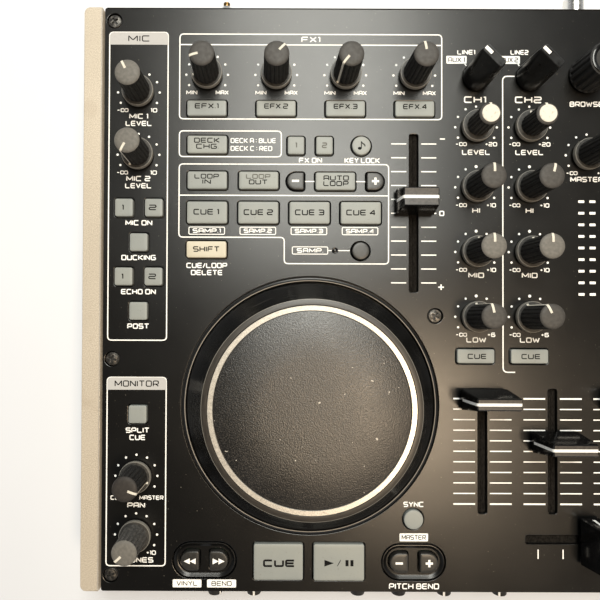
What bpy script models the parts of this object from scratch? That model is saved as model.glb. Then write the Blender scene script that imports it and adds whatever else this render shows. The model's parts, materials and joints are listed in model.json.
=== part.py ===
"""A two-deck, four-channel DJ controller, made of the pieces it comes apart into.

Shapes are drawn in millimetres and stored in metres. +X is the player's right, +Y is the rear edge
and +Z is up. The origin is on the table, below the middle of the body.
Heights called "above the panel" count from the top face of the top panel.
"""
import math

import bmesh
import bpy
from mathutils import Matrix, Vector

MM = 0.001

# Driving dimensions
BODY_WIDTH = 434.0
BODY_DEPTH = 251.0
PANEL_TOP = 34.5
PANEL_THICKNESS = 1.5
SHEET_THICKNESS = 1.5
RAIL_WIDTH = 8.0
RAIL_PROUD = 0.5
RAIL_CORNER = 1.8
RAIL_EDGE = 0.5
FOOT_HEIGHT = 3.0
FOOT_RADIUS = 9.0
GAP = 0.3

PANEL_HALF_WIDTH = BODY_WIDTH / 2 - RAIL_WIDTH - GAP
PANEL_HALF_DEPTH = BODY_DEPTH / 2
FRONT_Y = -BODY_DEPTH / 2
REAR_Y = BODY_DEPTH / 2

# Rotary knobs, heights above the panel
KNOB_HEIGHT = 17.0
KNOB_TOP_RADIUS = 4.9
KNOB_TAPER = 0.3
LEVEL_KNOB_HEIGHT = 14.0
LEVEL_KNOB_TOP_RADIUS = 4.3
KNOB_SKIRT_RADIUS = 6.7
KNOB_SKIRT_TOP = 3.0
KNOB_CLEARANCE = 0.8
SHAFT_RADIUS = 3.0
SHAFT_HOLE_RADIUS = 3.6
SHAFT_DEPTH = 8.0
SELECTOR_BAR = (10.5, 3.4)
SELECTOR_BASE_RADIUS = 6.0
SELECTOR_SHOULDER = 8.0
SELECTOR_ANGLE = math.radians(45)
BROWSE_RADIUS = 7.5
BROWSE_HEIGHT = 14.0

# Push keys
KEY_PROUD = 1.0
KEY_TRAVEL = 0.8
KEY_CLEARANCE = 0.5
KEY_FLANGE = 1.0
KEY_FLANGE_THICKNESS = 1.2
KEY_STEM = 3.0
KEY_STEM_DEPTH = 6.5

# Faders
PITCH_TRAVEL = 60.0
PITCH_CAP_TOP = (14.6, 7.7)
PITCH_CAP_BASE = (16.6, 11.0)
PITCH_CAP_HEIGHT = 11.0
PITCH_OFFSET = 4.3
CHANNEL_TRAVEL = 45.0
CHANNEL_CAP_TOP = (18.0, 4.9)
CHANNEL_CAP_BASE = (20.0, 8.7)
CHANNEL_CAP_HEIGHT = 15.7
CAP_CLEARANCE = 2.0
LEVER = (1.8, 5.0)
LEVER_DEPTH = 6.0
SLOT_WIDTH = 3.6
SLOT_OVERRUN = 4.0
TRACK_WIDTH = 9.0
TRACK_OVERRUN = 8.0

# Jog wheels
JOG_Y = -46.0
JOG_HEIGHT = 12.0
JOG_TOP_RADIUS = 42.5
JOG_RIM_RADIUS = 44.4
JOG_RIM_DROP = 0.8
JOG_BASE_RADIUS = 52.2
JOG_BASE_THICKNESS = 1.5
JOG_HUB_RADIUS = 6.0
BEZEL_OUTER = 55.4
BEZEL_INNER = 53.1
BEZEL_HEIGHT = 1.5

# Layout
DECK_X = 119.1
FX_PITCH = 29.83
FX_Y = 96.4
PITCH_X = 44.5
PITCH_ZERO_Y = 36.8
STRIP_X = 193.3
STRIP_KNOB_YS = (88.6, 61.6, -76.4, -101.4)
CHANNEL_KNOB_XS = (-47.7, -24.7, 24.7, 47.7)
CHANNEL_KNOB_YS = (95.5, 74.0, 48.0, 20.1, -7.8)
CHANNEL_FADER_XS = (-45.1, -15.0, 15.0, 45.1)
CHANNEL_FADER_TOP_Y = -42.9
CHANNEL_FADER_REST = (0.0, -18.0, 0.0, -36.0)
CROSSFADER_Y = -103.0
BROWSE_Y = 96.4
MASTER_Y = 62.0
FOOT_X = 180.0
FOOT_Y = 98.0

# Front and rear faces
FRONT_ROW_Z = 17.5
FRONT_KNOB_XS = (-161.3, -143.3, -95.5, -76.6, -55.6, -29.9)
FRONT_KNOB_RADIUS = 3.6
FRONT_KNOB_NECK = 2.5
FRONT_PROUD = 10.0
PHONES_SOCKET_X = 160.0
REAR_PROUD = FRONT_PROUD
PHONO_XS = (0.0, 20.0, 40.0, 60.0, 80.0, 100.0)
PHONO_ZS = (13.0, 26.0)
PHONO_RADIUS = 4.2
GROUND_X = -155.4
GROUND_Z = 24.0
GROUND_NUT_RADIUS = 3.2
GROUND_NUT_PROUD = 8.3
GROUND_STUD_RADIUS = 1.5
MIC_SOCKET_XS = (-135.0, -115.0)
USB_X = 130.0
USB_SIZE = (12.0, 11.0)
POWER_X = 160.0
SOCKET_MIDDLE_Z = 19.5
SOCKET_RADIUS = 4.6
SOCKET_BORE = 3.3
SOCKET_DEPTH = 16.0
SOCKET_PROUD = 0.8
HOLE_CLEARANCE = 0.4

# Boards
BOARD_DEPTH = 9.0
BOARD_THICKNESS = 1.5
BOARD_SPLIT_X = -35.4
BOARD_EDGE_X = 206.0
BOARD_FRONT_Y = -122.0
BOARD_REAR_Y = 104.0

ROUND_SEGMENTS = 16
POST_SEGMENTS = 8
HOLE_SEGMENTS = 10
JOG_SEGMENTS = 44


# ---- Drawing tools ---------------------------------------------------------------------------

def clear_scene():
    for obj in list(bpy.data.objects):
        bpy.data.objects.remove(obj, do_unlink=True)


def make_material(name, colour, roughness, metallic=0.0):
    material = bpy.data.materials.new(name)
    material.use_nodes = True
    shader = material.node_tree.nodes["Principled BSDF"]
    shader.inputs["Base Color"].default_value = (*colour, 1.0)
    shader.inputs["Roughness"].default_value = roughness
    shader.inputs["Metallic"].default_value = metallic
    return material


def add_object(name, bm, place, material):
    """Store a bmesh drawn in millimetres as an object in metres, standing at place."""
    bmesh.ops.recalc_face_normals(bm, faces=bm.faces)
    mesh = bpy.data.meshes.new(name)
    bm.to_mesh(mesh)
    bm.free()
    mesh.transform(Matrix.Scale(MM, 4))
    mesh.materials.append(material)
    obj = bpy.data.objects.new(name, mesh)
    obj.location = Vector(place) * MM
    bpy.context.scene.collection.objects.link(obj)
    return obj


def shade_round(obj):
    obj.data.shade_smooth()
    obj.data.set_sharp_from_angle(angle=math.radians(35))


def rectangle(width, depth, x=0.0, y=0.0):
    corners = ((1, 1), (-1, 1), (-1, -1), (1, -1))
    return [(x + sx * width / 2, y + sy * depth / 2) for sx, sy in corners]


def circle(radius, segments, x=0.0, y=0.0):
    turns = [2 * math.pi * (i + 0.5) / segments for i in range(segments)]
    return [(x + radius * math.cos(a), y + radius * math.sin(a)) for a in turns]


def half_round(width, depth, side, x=0.0, y=0.0):
    """A rectangle whose end on one side (-1 left, +1 right) is a half circle."""
    radius = depth / 2
    centre = x + side * (width / 2 - radius)
    turns = [math.pi * (i / 6 - 0.5) for i in range(7)]
    arc = [(centre + side * radius * math.cos(a), y + radius * math.sin(a)) for a in turns]
    flat = x - side * width / 2
    return arc + [(flat, y + radius), (flat, y - radius)]


def at_height(outline, z):
    return [(x, y, z) for x, y in outline]


def add_stack(bm, rings):
    """Skin one closed solid over rings of equal point count, listed from the top down."""
    loops = [[bm.verts.new(point) for point in ring] for ring in rings]
    count = len(rings[0])
    for upper, lower in zip(loops, loops[1:]):
        for i in range(count):
            j = (i + 1) % count
            bm.faces.new((upper[i], lower[i], lower[j], upper[j]))
    bm.faces.new(loops[0])
    bm.faces.new(loops[-1])


def add_prism(bm, outline, bottom, top):
    add_stack(bm, [at_height(outline, top), at_height(outline, bottom)])


def add_turned(bm, profile, segments, x=0.0, y=0.0):
    """Turn (radius, height) points, listed from the top down, about a vertical axis."""
    add_stack(bm, [at_height(circle(radius, segments, x, y), z) for radius, z in profile])


def add_turned_ring(bm, profile, segments):
    """Turn a closed (radius, height) outline into a ring with an open middle."""
    loops = []
    for radius, z in profile:
        loops.append([bm.verts.new(point) for point in at_height(circle(radius, segments), z)])
    for upper, lower in zip(loops, loops[1:] + loops[:1]):
        for i in range(segments):
            j = (i + 1) % segments
            bm.faces.new((upper[i], lower[i], lower[j], upper[j]))


def lay_along_y(bm, verts_before, centre):
    """Tip the points added after verts_before from +Z to +Y, and move them to centre."""
    bm.verts.ensure_lookup_table()
    turn = Matrix.Translation(Vector(centre)) @ Matrix.Rotation(math.radians(-90), 4, "X")
    bmesh.ops.transform(bm, matrix=turn, verts=bm.verts[verts_before:])


def combine(obj, bm, operation):
    """Apply bm's solids to obj with a Boolean modifier, in obj's own frame."""
    tool = add_object(obj.name + "_" + operation.lower(), bm, (0, 0, 0), obj.data.materials[0])
    tool.location = obj.location
    tool.hide_render = True
    tool.display_type = "WIRE"
    modifier = obj.modifiers.new(operation.title(), "BOOLEAN")
    modifier.operation = operation
    modifier.solver = "EXACT"
    modifier.object = tool


# ---- Layout of the push keys -----------------------------------------------------------------

def row(kind, xs, y, width, depth):
    return [(kind, x, y, width, depth) for x in xs]


def deck_keys():
    """Key groups of one deck, as (shape, x, y, width, depth) from the deck's middle line."""
    fx_xs = [(i - 1.5) * FX_PITCH for i in range(4)]
    cue_xs = [-44.4 + 22.0 * i for i in range(4)]
    auto_loop = [("left", -6.5, 50.3, 7.4, 7.4), ("rect", 10.8, 50.1, 17.1, 7.6)]
    auto_loop.append(("right", 27.8, 50.3, 7.4, 7.4))
    return {
        "effect_keys": row("rect", fx_xs, 81.6, 16.9, 6.7),
        "deck_change_key": row("rect", [-44.5], 65.9, 17.1, 7.7),
        "fx_on_keys": row("rect", [-6.3, 5.9], 65.6, 7.2, 7.7),
        "key_lock_key": row("round", [21.8], 65.6, 8.1, 8.1),
        "loop_keys": row("rect", [-44.4, -22.3], 50.5, 17.0, 7.6),
        "auto_loop_keys": auto_loop,
        "hot_cue_keys": row("rect", cue_xs, 36.6, 17.3, 9.5),
        "shift_key": row("rect", [-44.6], 20.7, 17.1, 7.1),
        "sampler_key": row("round", [21.6], 20.3, 7.6, 7.6),
        "sync_key": row("round", [44.3], -94.4, 8.3, 8.3),
        "search_back_key": row("left", [-51.0], -112.2, 7.8, 8.2),
        "search_forward_key": row("right", [-38.7], -112.2, 7.8, 8.2),
        "cue_key": row("rect", [-13.3], -112.5, 21.0, 15.3),
        "play_key": row("rect", [12.5], -112.6, 21.6, 15.5),
        "bend_minus_key": row("left", [38.1], -112.8, 7.8, 8.2),
        "bend_plus_key": row("right", [50.9], -112.8, 7.8, 8.2),
    }


def strip_keys():
    """Key groups of the left-hand microphone and monitor strip."""
    middle = -192.8
    pair = [middle - 6.4, middle + 6.4]
    return {
        "mic_on_keys": row("rect", pair, 38.6, 7.7, 7.7),
        "ducking_key": row("rect", [middle], 23.7, 7.7, 7.7),
        "echo_on_keys": row("rect", pair, 9.0, 7.7, 7.7),
        "post_key": row("rect", [middle], -5.8, 7.7, 7.7),
        "split_cue_key": row("rect", [middle], -50.0, 7.7, 7.7),
    }


def all_key_groups():
    groups = dict(strip_keys())
    for name, keys in deck_keys().items():
        groups[name] = [(kind, x - DECK_X, y, w, d) for kind, x, y, w, d in keys]
    groups["channel_1_cue_key"] = row("rect", [-48.2], -24.7, 16.0, 6.1)
    return groups


def key_outline(kind, x, y, width, depth, margin):
    width += 2 * margin
    depth += 2 * margin
    if kind == "round":
        return circle(width / 2, HOLE_SEGMENTS, x, y)
    if kind == "left":
        return half_round(width, depth, -1, x, y)
    if kind == "right":
        return half_round(width, depth, 1, x, y)
    return rectangle(width, depth, x, y)


# ---- Casing ----------------------------------------------------------------------------------

def knob_places():
    """Name and place of each knob that turns on its own."""
    places = {}
    for name, y in zip(("mic_1_knob", "mic_2_knob", "pan_knob", "phones_knob"), STRIP_KNOB_YS):
        places[name] = (-STRIP_X, y)
    for i in range(4):
        places["fx_knob_" + str(i + 1)] = (-DECK_X + (i - 1.5) * FX_PITCH, FX_Y)
    for name, y in zip(("level", "high", "mid", "low"), CHANNEL_KNOB_YS[1:]):
        places["channel_1_" + name + "_knob"] = (CHANNEL_KNOB_XS[0], y)
    return places


def knob_size(y):
    """Top radius and height of the knobs in a row. The channel level row is the low one."""
    if y == CHANNEL_KNOB_YS[1]:
        return LEVEL_KNOB_TOP_RADIUS, LEVEL_KNOB_HEIGHT
    return KNOB_TOP_RADIUS, KNOB_HEIGHT


def right_knob_places():
    """Places of the knobs that stand on the right-hand board."""
    places = [(STRIP_X, y) for y in STRIP_KNOB_YS]
    places += [(DECK_X + (i - 1.5) * FX_PITCH, FX_Y) for i in range(4)]
    places += [(x, y) for x in CHANNEL_KNOB_XS[1:] for y in CHANNEL_KNOB_YS]
    places.append((0.0, MASTER_Y))
    return places


def fader_slots():
    """Middle, travel and direction (0 along X, 1 along Y) of each fader."""
    slots = [(side * DECK_X + PITCH_X, PITCH_ZERO_Y, PITCH_TRAVEL, 1) for side in (-1, 1)]
    channel_middle = CHANNEL_FADER_TOP_Y - CHANNEL_TRAVEL / 2
    slots += [(x, channel_middle, CHANNEL_TRAVEL, 1) for x in CHANNEL_FADER_XS]
    slots.append((0.0, CROSSFADER_Y, CHANNEL_TRAVEL, 0))
    return slots


def slot_outline(slot, width, overrun):
    x, y, travel, along_y = slot
    length = travel + 2 * overrun
    return rectangle(width, length, x, y) if along_y else rectangle(length, width, x, y)


def top_panel(material):
    bm = bmesh.new()
    add_prism(bm, rectangle(2 * PANEL_HALF_WIDTH, BODY_DEPTH), -PANEL_THICKNESS, 0.0)
    panel = add_object("top_panel", bm, (0, 0, PANEL_TOP), material)
    holes = bmesh.new()
    outlines = []
    for x, y in list(knob_places().values()) + right_knob_places():
        outlines.append(circle(SHAFT_HOLE_RADIUS, HOLE_SEGMENTS, x, y))
    outlines.append(circle(SHAFT_HOLE_RADIUS, HOLE_SEGMENTS, CHANNEL_KNOB_XS[0], CHANNEL_KNOB_YS[0]))
    outlines.append(circle(SHAFT_HOLE_RADIUS, HOLE_SEGMENTS, 0.0, BROWSE_Y))
    for side in (-1, 1):
        hub_hole = JOG_HUB_RADIUS + HOLE_CLEARANCE
        outlines.append(circle(hub_hole, ROUND_SEGMENTS, side * DECK_X, JOG_Y))
    for slot in fader_slots():
        outlines.append(slot_outline(slot, SLOT_WIDTH, SLOT_OVERRUN))
    for keys in all_key_groups().values():
        for key in keys:
            outlines.append(key_outline(*key, KEY_CLEARANCE))
    for outline in outlines:
        add_prism(holes, outline, -2 * PANEL_THICKNESS, PANEL_THICKNESS)
    combine(panel, holes, "DIFFERENCE")


def bottom_cover(material):
    bm = bmesh.new()
    add_prism(bm, rectangle(2 * PANEL_HALF_WIDTH, BODY_DEPTH), 0.0, SHEET_THICKNESS)
    add_object("bottom_cover", bm, (0, 0, FOOT_HEIGHT), material)


def face_sheet(name, side, material):
    """The front (-1) or rear (+1) sheet, standing between the bottom cover and the top panel."""
    low = FOOT_HEIGHT + SHEET_THICKNESS + GAP
    high = PANEL_TOP - PANEL_THICKNESS - GAP
    bm = bmesh.new()
    middle = side * (PANEL_HALF_DEPTH - SHEET_THICKNESS / 2)
    add_prism(bm, rectangle(2 * PANEL_HALF_WIDTH, SHEET_THICKNESS, 0.0, middle), low, high)
    return add_object(name, bm, (0, 0, 0), material)


def round_holes_along_y(bm, places, radius, middle_y):
    """Cylinders along Y through a face sheet, one at each (x, z)."""
    for x, z in places:
        before = len(bm.verts)
        add_turned(bm, [(radius, SHEET_THICKNESS * 2), (radius, -SHEET_THICKNESS * 2)], HOLE_SEGMENTS)
        lay_along_y(bm, before, (x, middle_y, z))


def front_panel(material):
    panel = face_sheet("front_panel", -1, material)
    holes = bmesh.new()
    knobs = [(x, FRONT_ROW_Z) for x in FRONT_KNOB_XS]
    round_holes_along_y(holes, knobs, FRONT_KNOB_NECK + HOLE_CLEARANCE, FRONT_Y)
    socket = [(PHONES_SOCKET_X, FRONT_ROW_Z)]
    round_holes_along_y(holes, socket, SOCKET_RADIUS + HOLE_CLEARANCE, FRONT_Y)
    combine(panel, holes, "DIFFERENCE")


def rear_panel(material):
    panel = face_sheet("rear_panel", 1, material)
    holes = bmesh.new()
    phono = [(x, z) for x in PHONO_XS for z in PHONO_ZS]
    round_holes_along_y(holes, phono, PHONO_RADIUS + HOLE_CLEARANCE, REAR_Y)
    round_holes_along_y(holes, [(GROUND_X, GROUND_Z)], GROUND_NUT_RADIUS + HOLE_CLEARANCE, REAR_Y)
    sockets = [(x, SOCKET_MIDDLE_Z) for x in (*MIC_SOCKET_XS, POWER_X)]
    round_holes_along_y(holes, sockets, SOCKET_RADIUS + HOLE_CLEARANCE, REAR_Y)
    width, height = (size + 2 * HOLE_CLEARANCE for size in USB_SIZE)
    usb = rectangle(width, 4 * SHEET_THICKNESS, USB_X, REAR_Y)
    add_prism(holes, usb, SOCKET_MIDDLE_Z - height / 2, SOCKET_MIDDLE_Z + height / 2)
    combine(panel, holes, "DIFFERENCE")


def side_rail(name, side, material):
    """An end cheek: a bar with rounded outer corners and softened long edges."""
    half = BODY_DEPTH / 2
    outer = BODY_WIDTH / 2
    inner = outer - RAIL_WIDTH
    outline = [(side * inner, half), (side * inner, -half)]
    for corner_y in (-1, 1):
        for i in range(4):
            turn = math.radians(30 * i if corner_y > 0 else 90 - 30 * i)
            x = outer - RAIL_CORNER + RAIL_CORNER * math.cos(turn)
            y = corner_y * (half - RAIL_CORNER + RAIL_CORNER * math.sin(turn))
            outline.append((side * x, y))
    bottom = FOOT_HEIGHT + GAP
    bm = bmesh.new()
    add_prism(bm, outline, bottom, PANEL_TOP + RAIL_PROUD)
    rail = add_object(name, bm, (0, 0, 0), material)
    bevel = rail.modifiers.new("Soft edges", "BEVEL")
    bevel.width = RAIL_EDGE * MM
    bevel.segments = 1
    bevel.limit_method = "ANGLE"
    bevel.angle_limit = math.radians(40)


def foot(name, x, y, material):
    bm = bmesh.new()
    top = FOOT_HEIGHT - GAP
    add_turned(bm, [(FOOT_RADIUS, top), (FOOT_RADIUS, 0.6), (FOOT_RADIUS - 0.6, 0.0)], ROUND_SEGMENTS)
    shade_round(add_object(name, bm, (x, y, 0), material))


# ---- Boards and sockets ----------------------------------------------------------------------

def board_plate(name, low_x, high_x, material):
    bm = bmesh.new()
    middle_y = (BOARD_FRONT_Y + BOARD_REAR_Y) / 2
    outline = rectangle(high_x - low_x, BOARD_REAR_Y - BOARD_FRONT_Y, (low_x + high_x) / 2, middle_y)
    add_prism(bm, outline, -BOARD_DEPTH - BOARD_THICKNESS, -BOARD_DEPTH)
    return add_object(name, bm, (0, 0, PANEL_TOP), material)


def add_board_part(bm, outline, top):
    """A component body that stands on a board and is sunk a little way into it."""
    add_prism(bm, outline, -BOARD_DEPTH - BOARD_THICKNESS / 2, top)


def add_fader_track(bm, slot):
    add_board_part(bm, slot_outline(slot, TRACK_WIDTH, TRACK_OVERRUN), -LEVER_DEPTH - GAP)


def add_jog_bearing(bm, side):
    size = 4 * JOG_HUB_RADIUS
    add_board_part(bm, rectangle(size, size, side * DECK_X, JOG_Y), -SHAFT_DEPTH - GAP)


def left_control_board(material):
    """Board under the left half, with its potentiometers, switches and fader tracks."""
    board = board_plate("left_control_board", -BOARD_EDGE_X, BOARD_SPLIT_X, material)
    parts = bmesh.new()
    selector = (CHANNEL_KNOB_XS[0], CHANNEL_KNOB_YS[0])
    for x, y in [*knob_places().values(), selector]:
        add_board_part(parts, rectangle(9.5, 11.0, x, y), -SHAFT_DEPTH - GAP)
    for keys in all_key_groups().values():
        for _, x, y, _, _ in keys:
            add_board_part(parts, rectangle(6.0, 6.0, x, y), -KEY_STEM_DEPTH - KEY_TRAVEL - GAP)
    for slot in fader_slots():
        if slot[0] < BOARD_SPLIT_X:
            add_fader_track(parts, slot)
    add_jog_bearing(parts, -1)
    combine(board, parts, "UNION")


def add_board_knob(bm, x, y, top_radius, base_radius, height):
    """A plain knob on its shaft, rooted in a board."""
    profile = [(top_radius, height), (top_radius + KNOB_TAPER, KNOB_SKIRT_TOP + 1.0)]
    profile += [(base_radius, KNOB_CLEARANCE), (SHAFT_RADIUS, KNOB_CLEARANCE)]
    profile.append((SHAFT_RADIUS, -BOARD_DEPTH - BOARD_THICKNESS / 2))
    add_turned(bm, profile, POST_SEGMENTS, x, y)


def right_knob_board(material):
    """Board under the middle and the right half, with the knobs that stand on it."""
    board = board_plate("right_knob_board", BOARD_SPLIT_X + GAP, BOARD_EDGE_X, material)
    parts = bmesh.new()
    for x, y in right_knob_places():
        top_radius, height = knob_size(y)
        add_board_knob(parts, x, y, top_radius, KNOB_SKIRT_RADIUS, height)
    add_board_knob(parts, 0.0, BROWSE_Y, BROWSE_RADIUS, BROWSE_RADIUS + 0.5, BROWSE_HEIGHT)
    for slot in fader_slots():
        if slot[0] > BOARD_SPLIT_X:
            add_fader_track(parts, slot)
    add_jog_bearing(parts, 1)
    combine(board, parts, "UNION")


def add_socket_bore(bm, x, z, mouth_y, side):
    """A blind round bore along Y, opening at mouth_y on the front (-1) or rear (+1) side."""
    before = len(bm.verts)
    add_turned(bm, [(SOCKET_BORE, 1.0), (SOCKET_BORE, -SOCKET_DEPTH)], HOLE_SEGMENTS)
    if side < 0:
        bm.verts.ensure_lookup_table()
        bmesh.ops.transform(bm, matrix=Matrix.Rotation(math.pi, 4, "X"), verts=bm.verts[before:])
    lay_along_y(bm, before, (x, mouth_y, z))


def front_knob_board(material):
    """Board behind the front panel, with its small knobs and the headphone socket."""
    board_y = FRONT_Y + 6.5
    bm = bmesh.new()
    plate = rectangle(345.0, BOARD_THICKNESS, 0.0, board_y)
    add_prism(bm, plate, FRONT_ROW_Z - 6.0, FRONT_ROW_Z + 6.0)
    board = add_object("front_knob_board", bm, (0, 0, 0), material)
    parts = bmesh.new()
    tip = -FRONT_PROUD
    shoulder = -KNOB_CLEARANCE
    for x in FRONT_KNOB_XS:
        before = len(parts.verts)
        profile = [(FRONT_KNOB_NECK, 6.5), (FRONT_KNOB_NECK, shoulder)]
        profile += [(FRONT_KNOB_RADIUS, shoulder), (FRONT_KNOB_RADIUS - 0.3, tip)]
        add_turned(parts, profile, POST_SEGMENTS)
        lay_along_y(parts, before, (x, FRONT_Y, FRONT_ROW_Z))
    before = len(parts.verts)
    add_turned(parts, [(SOCKET_RADIUS, 8.0), (SOCKET_RADIUS, -SOCKET_PROUD)], HOLE_SEGMENTS)
    lay_along_y(parts, before, (PHONES_SOCKET_X, FRONT_Y, FRONT_ROW_Z))
    combine(board, parts, "UNION")
    body = bmesh.new()
    outline = rectangle(11.0, 13.0, PHONES_SOCKET_X, board_y + 6.3)
    add_prism(body, outline, FRONT_ROW_Z - 5.0, FRONT_ROW_Z + 5.0)
    combine(board, body, "UNION")
    bore = bmesh.new()
    add_socket_bore(bore, PHONES_SOCKET_X, FRONT_ROW_Z, FRONT_Y - SOCKET_PROUD, -1)
    combine(board, bore, "DIFFERENCE")


def rear_socket_block(material):
    """Moulded block behind the rear panel that holds every rear socket."""
    face_y = REAR_Y - SHEET_THICKNESS - GAP
    back_y = face_y - SOCKET_DEPTH
    bm = bmesh.new()
    outline = rectangle(360.0, face_y - back_y, 0.0, (face_y + back_y) / 2)
    add_prism(bm, outline, 7.0, 31.5)
    block = add_object("rear_socket_block", bm, (0, 0, 0), material)
    parts = bmesh.new()
    for x in PHONO_XS:
        for z in PHONO_ZS:
            before = len(parts.verts)
            add_turned(parts, [(PHONO_RADIUS, REAR_PROUD), (PHONO_RADIUS, -4.0)], HOLE_SEGMENTS)
            lay_along_y(parts, before, (x, REAR_Y, z))
    before = len(parts.verts)
    post = [(GROUND_STUD_RADIUS, REAR_PROUD), (GROUND_STUD_RADIUS, GROUND_NUT_PROUD)]
    post += [(GROUND_NUT_RADIUS, GROUND_NUT_PROUD), (GROUND_NUT_RADIUS, -4.0)]
    add_turned(parts, post, HOLE_SEGMENTS)
    lay_along_y(parts, before, (GROUND_X, REAR_Y, GROUND_Z))
    for x in (*MIC_SOCKET_XS, POWER_X):
        before = len(parts.verts)
        add_turned(parts, [(SOCKET_RADIUS, SOCKET_PROUD), (SOCKET_RADIUS, -4.0)], HOLE_SEGMENTS)
        lay_along_y(parts, before, (x, REAR_Y, SOCKET_MIDDLE_Z))
    width, height = USB_SIZE
    usb = rectangle(width, 4.0 + SOCKET_PROUD, USB_X, REAR_Y - 2.0 + SOCKET_PROUD / 2)
    add_prism(parts, usb, SOCKET_MIDDLE_Z - height / 2, SOCKET_MIDDLE_Z + height / 2)
    combine(block, parts, "UNION")
    bores = bmesh.new()
    for x in MIC_SOCKET_XS:
        add_socket_bore(bores, x, SOCKET_MIDDLE_Z, REAR_Y + SOCKET_PROUD, 1)
    combine(block, bores, "DIFFERENCE")


# ---- Moving pieces ---------------------------------------------------------------------------

def knob(name, place, material):
    bm = bmesh.new()
    top_radius, height = knob_size(place[1])
    profile = [(top_radius - 0.4, height), (top_radius, height - 0.5)]
    profile += [(top_radius + KNOB_TAPER, KNOB_SKIRT_TOP + 1.0), (KNOB_SKIRT_RADIUS, KNOB_SKIRT_TOP - 0.6)]
    profile += [(KNOB_SKIRT_RADIUS, KNOB_CLEARANCE), (SHAFT_RADIUS, KNOB_CLEARANCE)]
    profile.append((SHAFT_RADIUS, -SHAFT_DEPTH))
    add_turned(bm, profile, ROUND_SEGMENTS)
    shade_round(add_object(name, bm, (*place, PANEL_TOP), material))


def selector_knob(name, place, material):
    """A round base carrying a narrow bar that points at the chosen input."""
    bm = bmesh.new()
    profile = [(SELECTOR_BASE_RADIUS - 1.0, SELECTOR_SHOULDER), (SELECTOR_BASE_RADIUS, 5.0)]
    profile += [(SELECTOR_BASE_RADIUS, KNOB_CLEARANCE), (SHAFT_RADIUS, KNOB_CLEARANCE)]
    profile.append((SHAFT_RADIUS, -SHAFT_DEPTH))
    add_turned(bm, profile, ROUND_SEGMENTS)
    selector = add_object(name, bm, (*place, PANEL_TOP), material)
    bar = bmesh.new()
    width, depth = SELECTOR_BAR
    add_prism(bar, rectangle(depth, width), SELECTOR_SHOULDER - 2.0, KNOB_HEIGHT)
    turn = Matrix.Rotation(SELECTOR_ANGLE, 4, "Z")
    bmesh.ops.transform(bar, matrix=turn, verts=bar.verts)
    combine(selector, bar, "UNION")


def fader(name, place, cap_base, cap_top, height, turned_flat, material):
    """A fader cap on its lever. turned_flat turns it to slide along X."""
    rings = [at_height(rectangle(*cap_top), height), at_height(rectangle(*cap_base), CAP_CLEARANCE)]
    rings.append(at_height(rectangle(*LEVER), CAP_CLEARANCE))
    rings.append(at_height(rectangle(*LEVER), -LEVER_DEPTH))
    bm = bmesh.new()
    add_stack(bm, rings)
    if turned_flat:
        bmesh.ops.transform(bm, matrix=Matrix.Rotation(math.radians(90), 4, "Z"), verts=bm.verts)
    add_object(name, bm, (*place, PANEL_TOP), material)


def jog_wheel(name, side, material):
    bm = bmesh.new()
    profile = [(JOG_TOP_RADIUS, JOG_HEIGHT), (JOG_RIM_RADIUS, JOG_HEIGHT - JOG_RIM_DROP)]
    profile += [(JOG_BASE_RADIUS, KNOB_CLEARANCE + JOG_BASE_THICKNESS)]
    profile += [(JOG_BASE_RADIUS, KNOB_CLEARANCE), (JOG_HUB_RADIUS, KNOB_CLEARANCE)]
    profile.append((JOG_HUB_RADIUS, -SHAFT_DEPTH))
    add_turned(bm, profile, JOG_SEGMENTS)
    shade_round(add_object(name, bm, (side * DECK_X, JOG_Y, PANEL_TOP), material))


def jog_bezel(name, side, material):
    bm = bmesh.new()
    profile = [(BEZEL_OUTER, GAP), (BEZEL_OUTER, BEZEL_HEIGHT - 0.7), (BEZEL_OUTER - 0.7, BEZEL_HEIGHT)]
    profile += [(BEZEL_INNER, BEZEL_HEIGHT), (BEZEL_INNER, GAP)]
    add_turned_ring(bm, profile, JOG_SEGMENTS)
    shade_round(add_object(name, bm, (side * DECK_X, JOG_Y, PANEL_TOP), material))


def key_rings(kind, width, depth):
    """Cap, retaining flange and stem of one key, from the top down."""
    under_panel = -PANEL_THICKNESS - GAP
    flange_bottom = under_panel - KEY_FLANGE_THICKNESS
    cap = key_outline(kind, 0, 0, width, depth, 0.0)
    flange = key_outline(kind, 0, 0, width, depth, KEY_FLANGE)
    stem = key_outline(kind, 0, 0, KEY_STEM, KEY_STEM, 0.0)
    rings = [at_height(cap, KEY_PROUD), at_height(cap, under_panel), at_height(flange, under_panel)]
    rings += [at_height(flange, flange_bottom), at_height(stem, flange_bottom)]
    rings.append(at_height(stem, -KEY_STEM_DEPTH))
    return rings


def single_key(name, key, material):
    kind, x, y, width, depth = key
    bm = bmesh.new()
    add_stack(bm, key_rings(kind, width, depth))
    add_object(name, bm, (x, y, PANEL_TOP), material)


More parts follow.
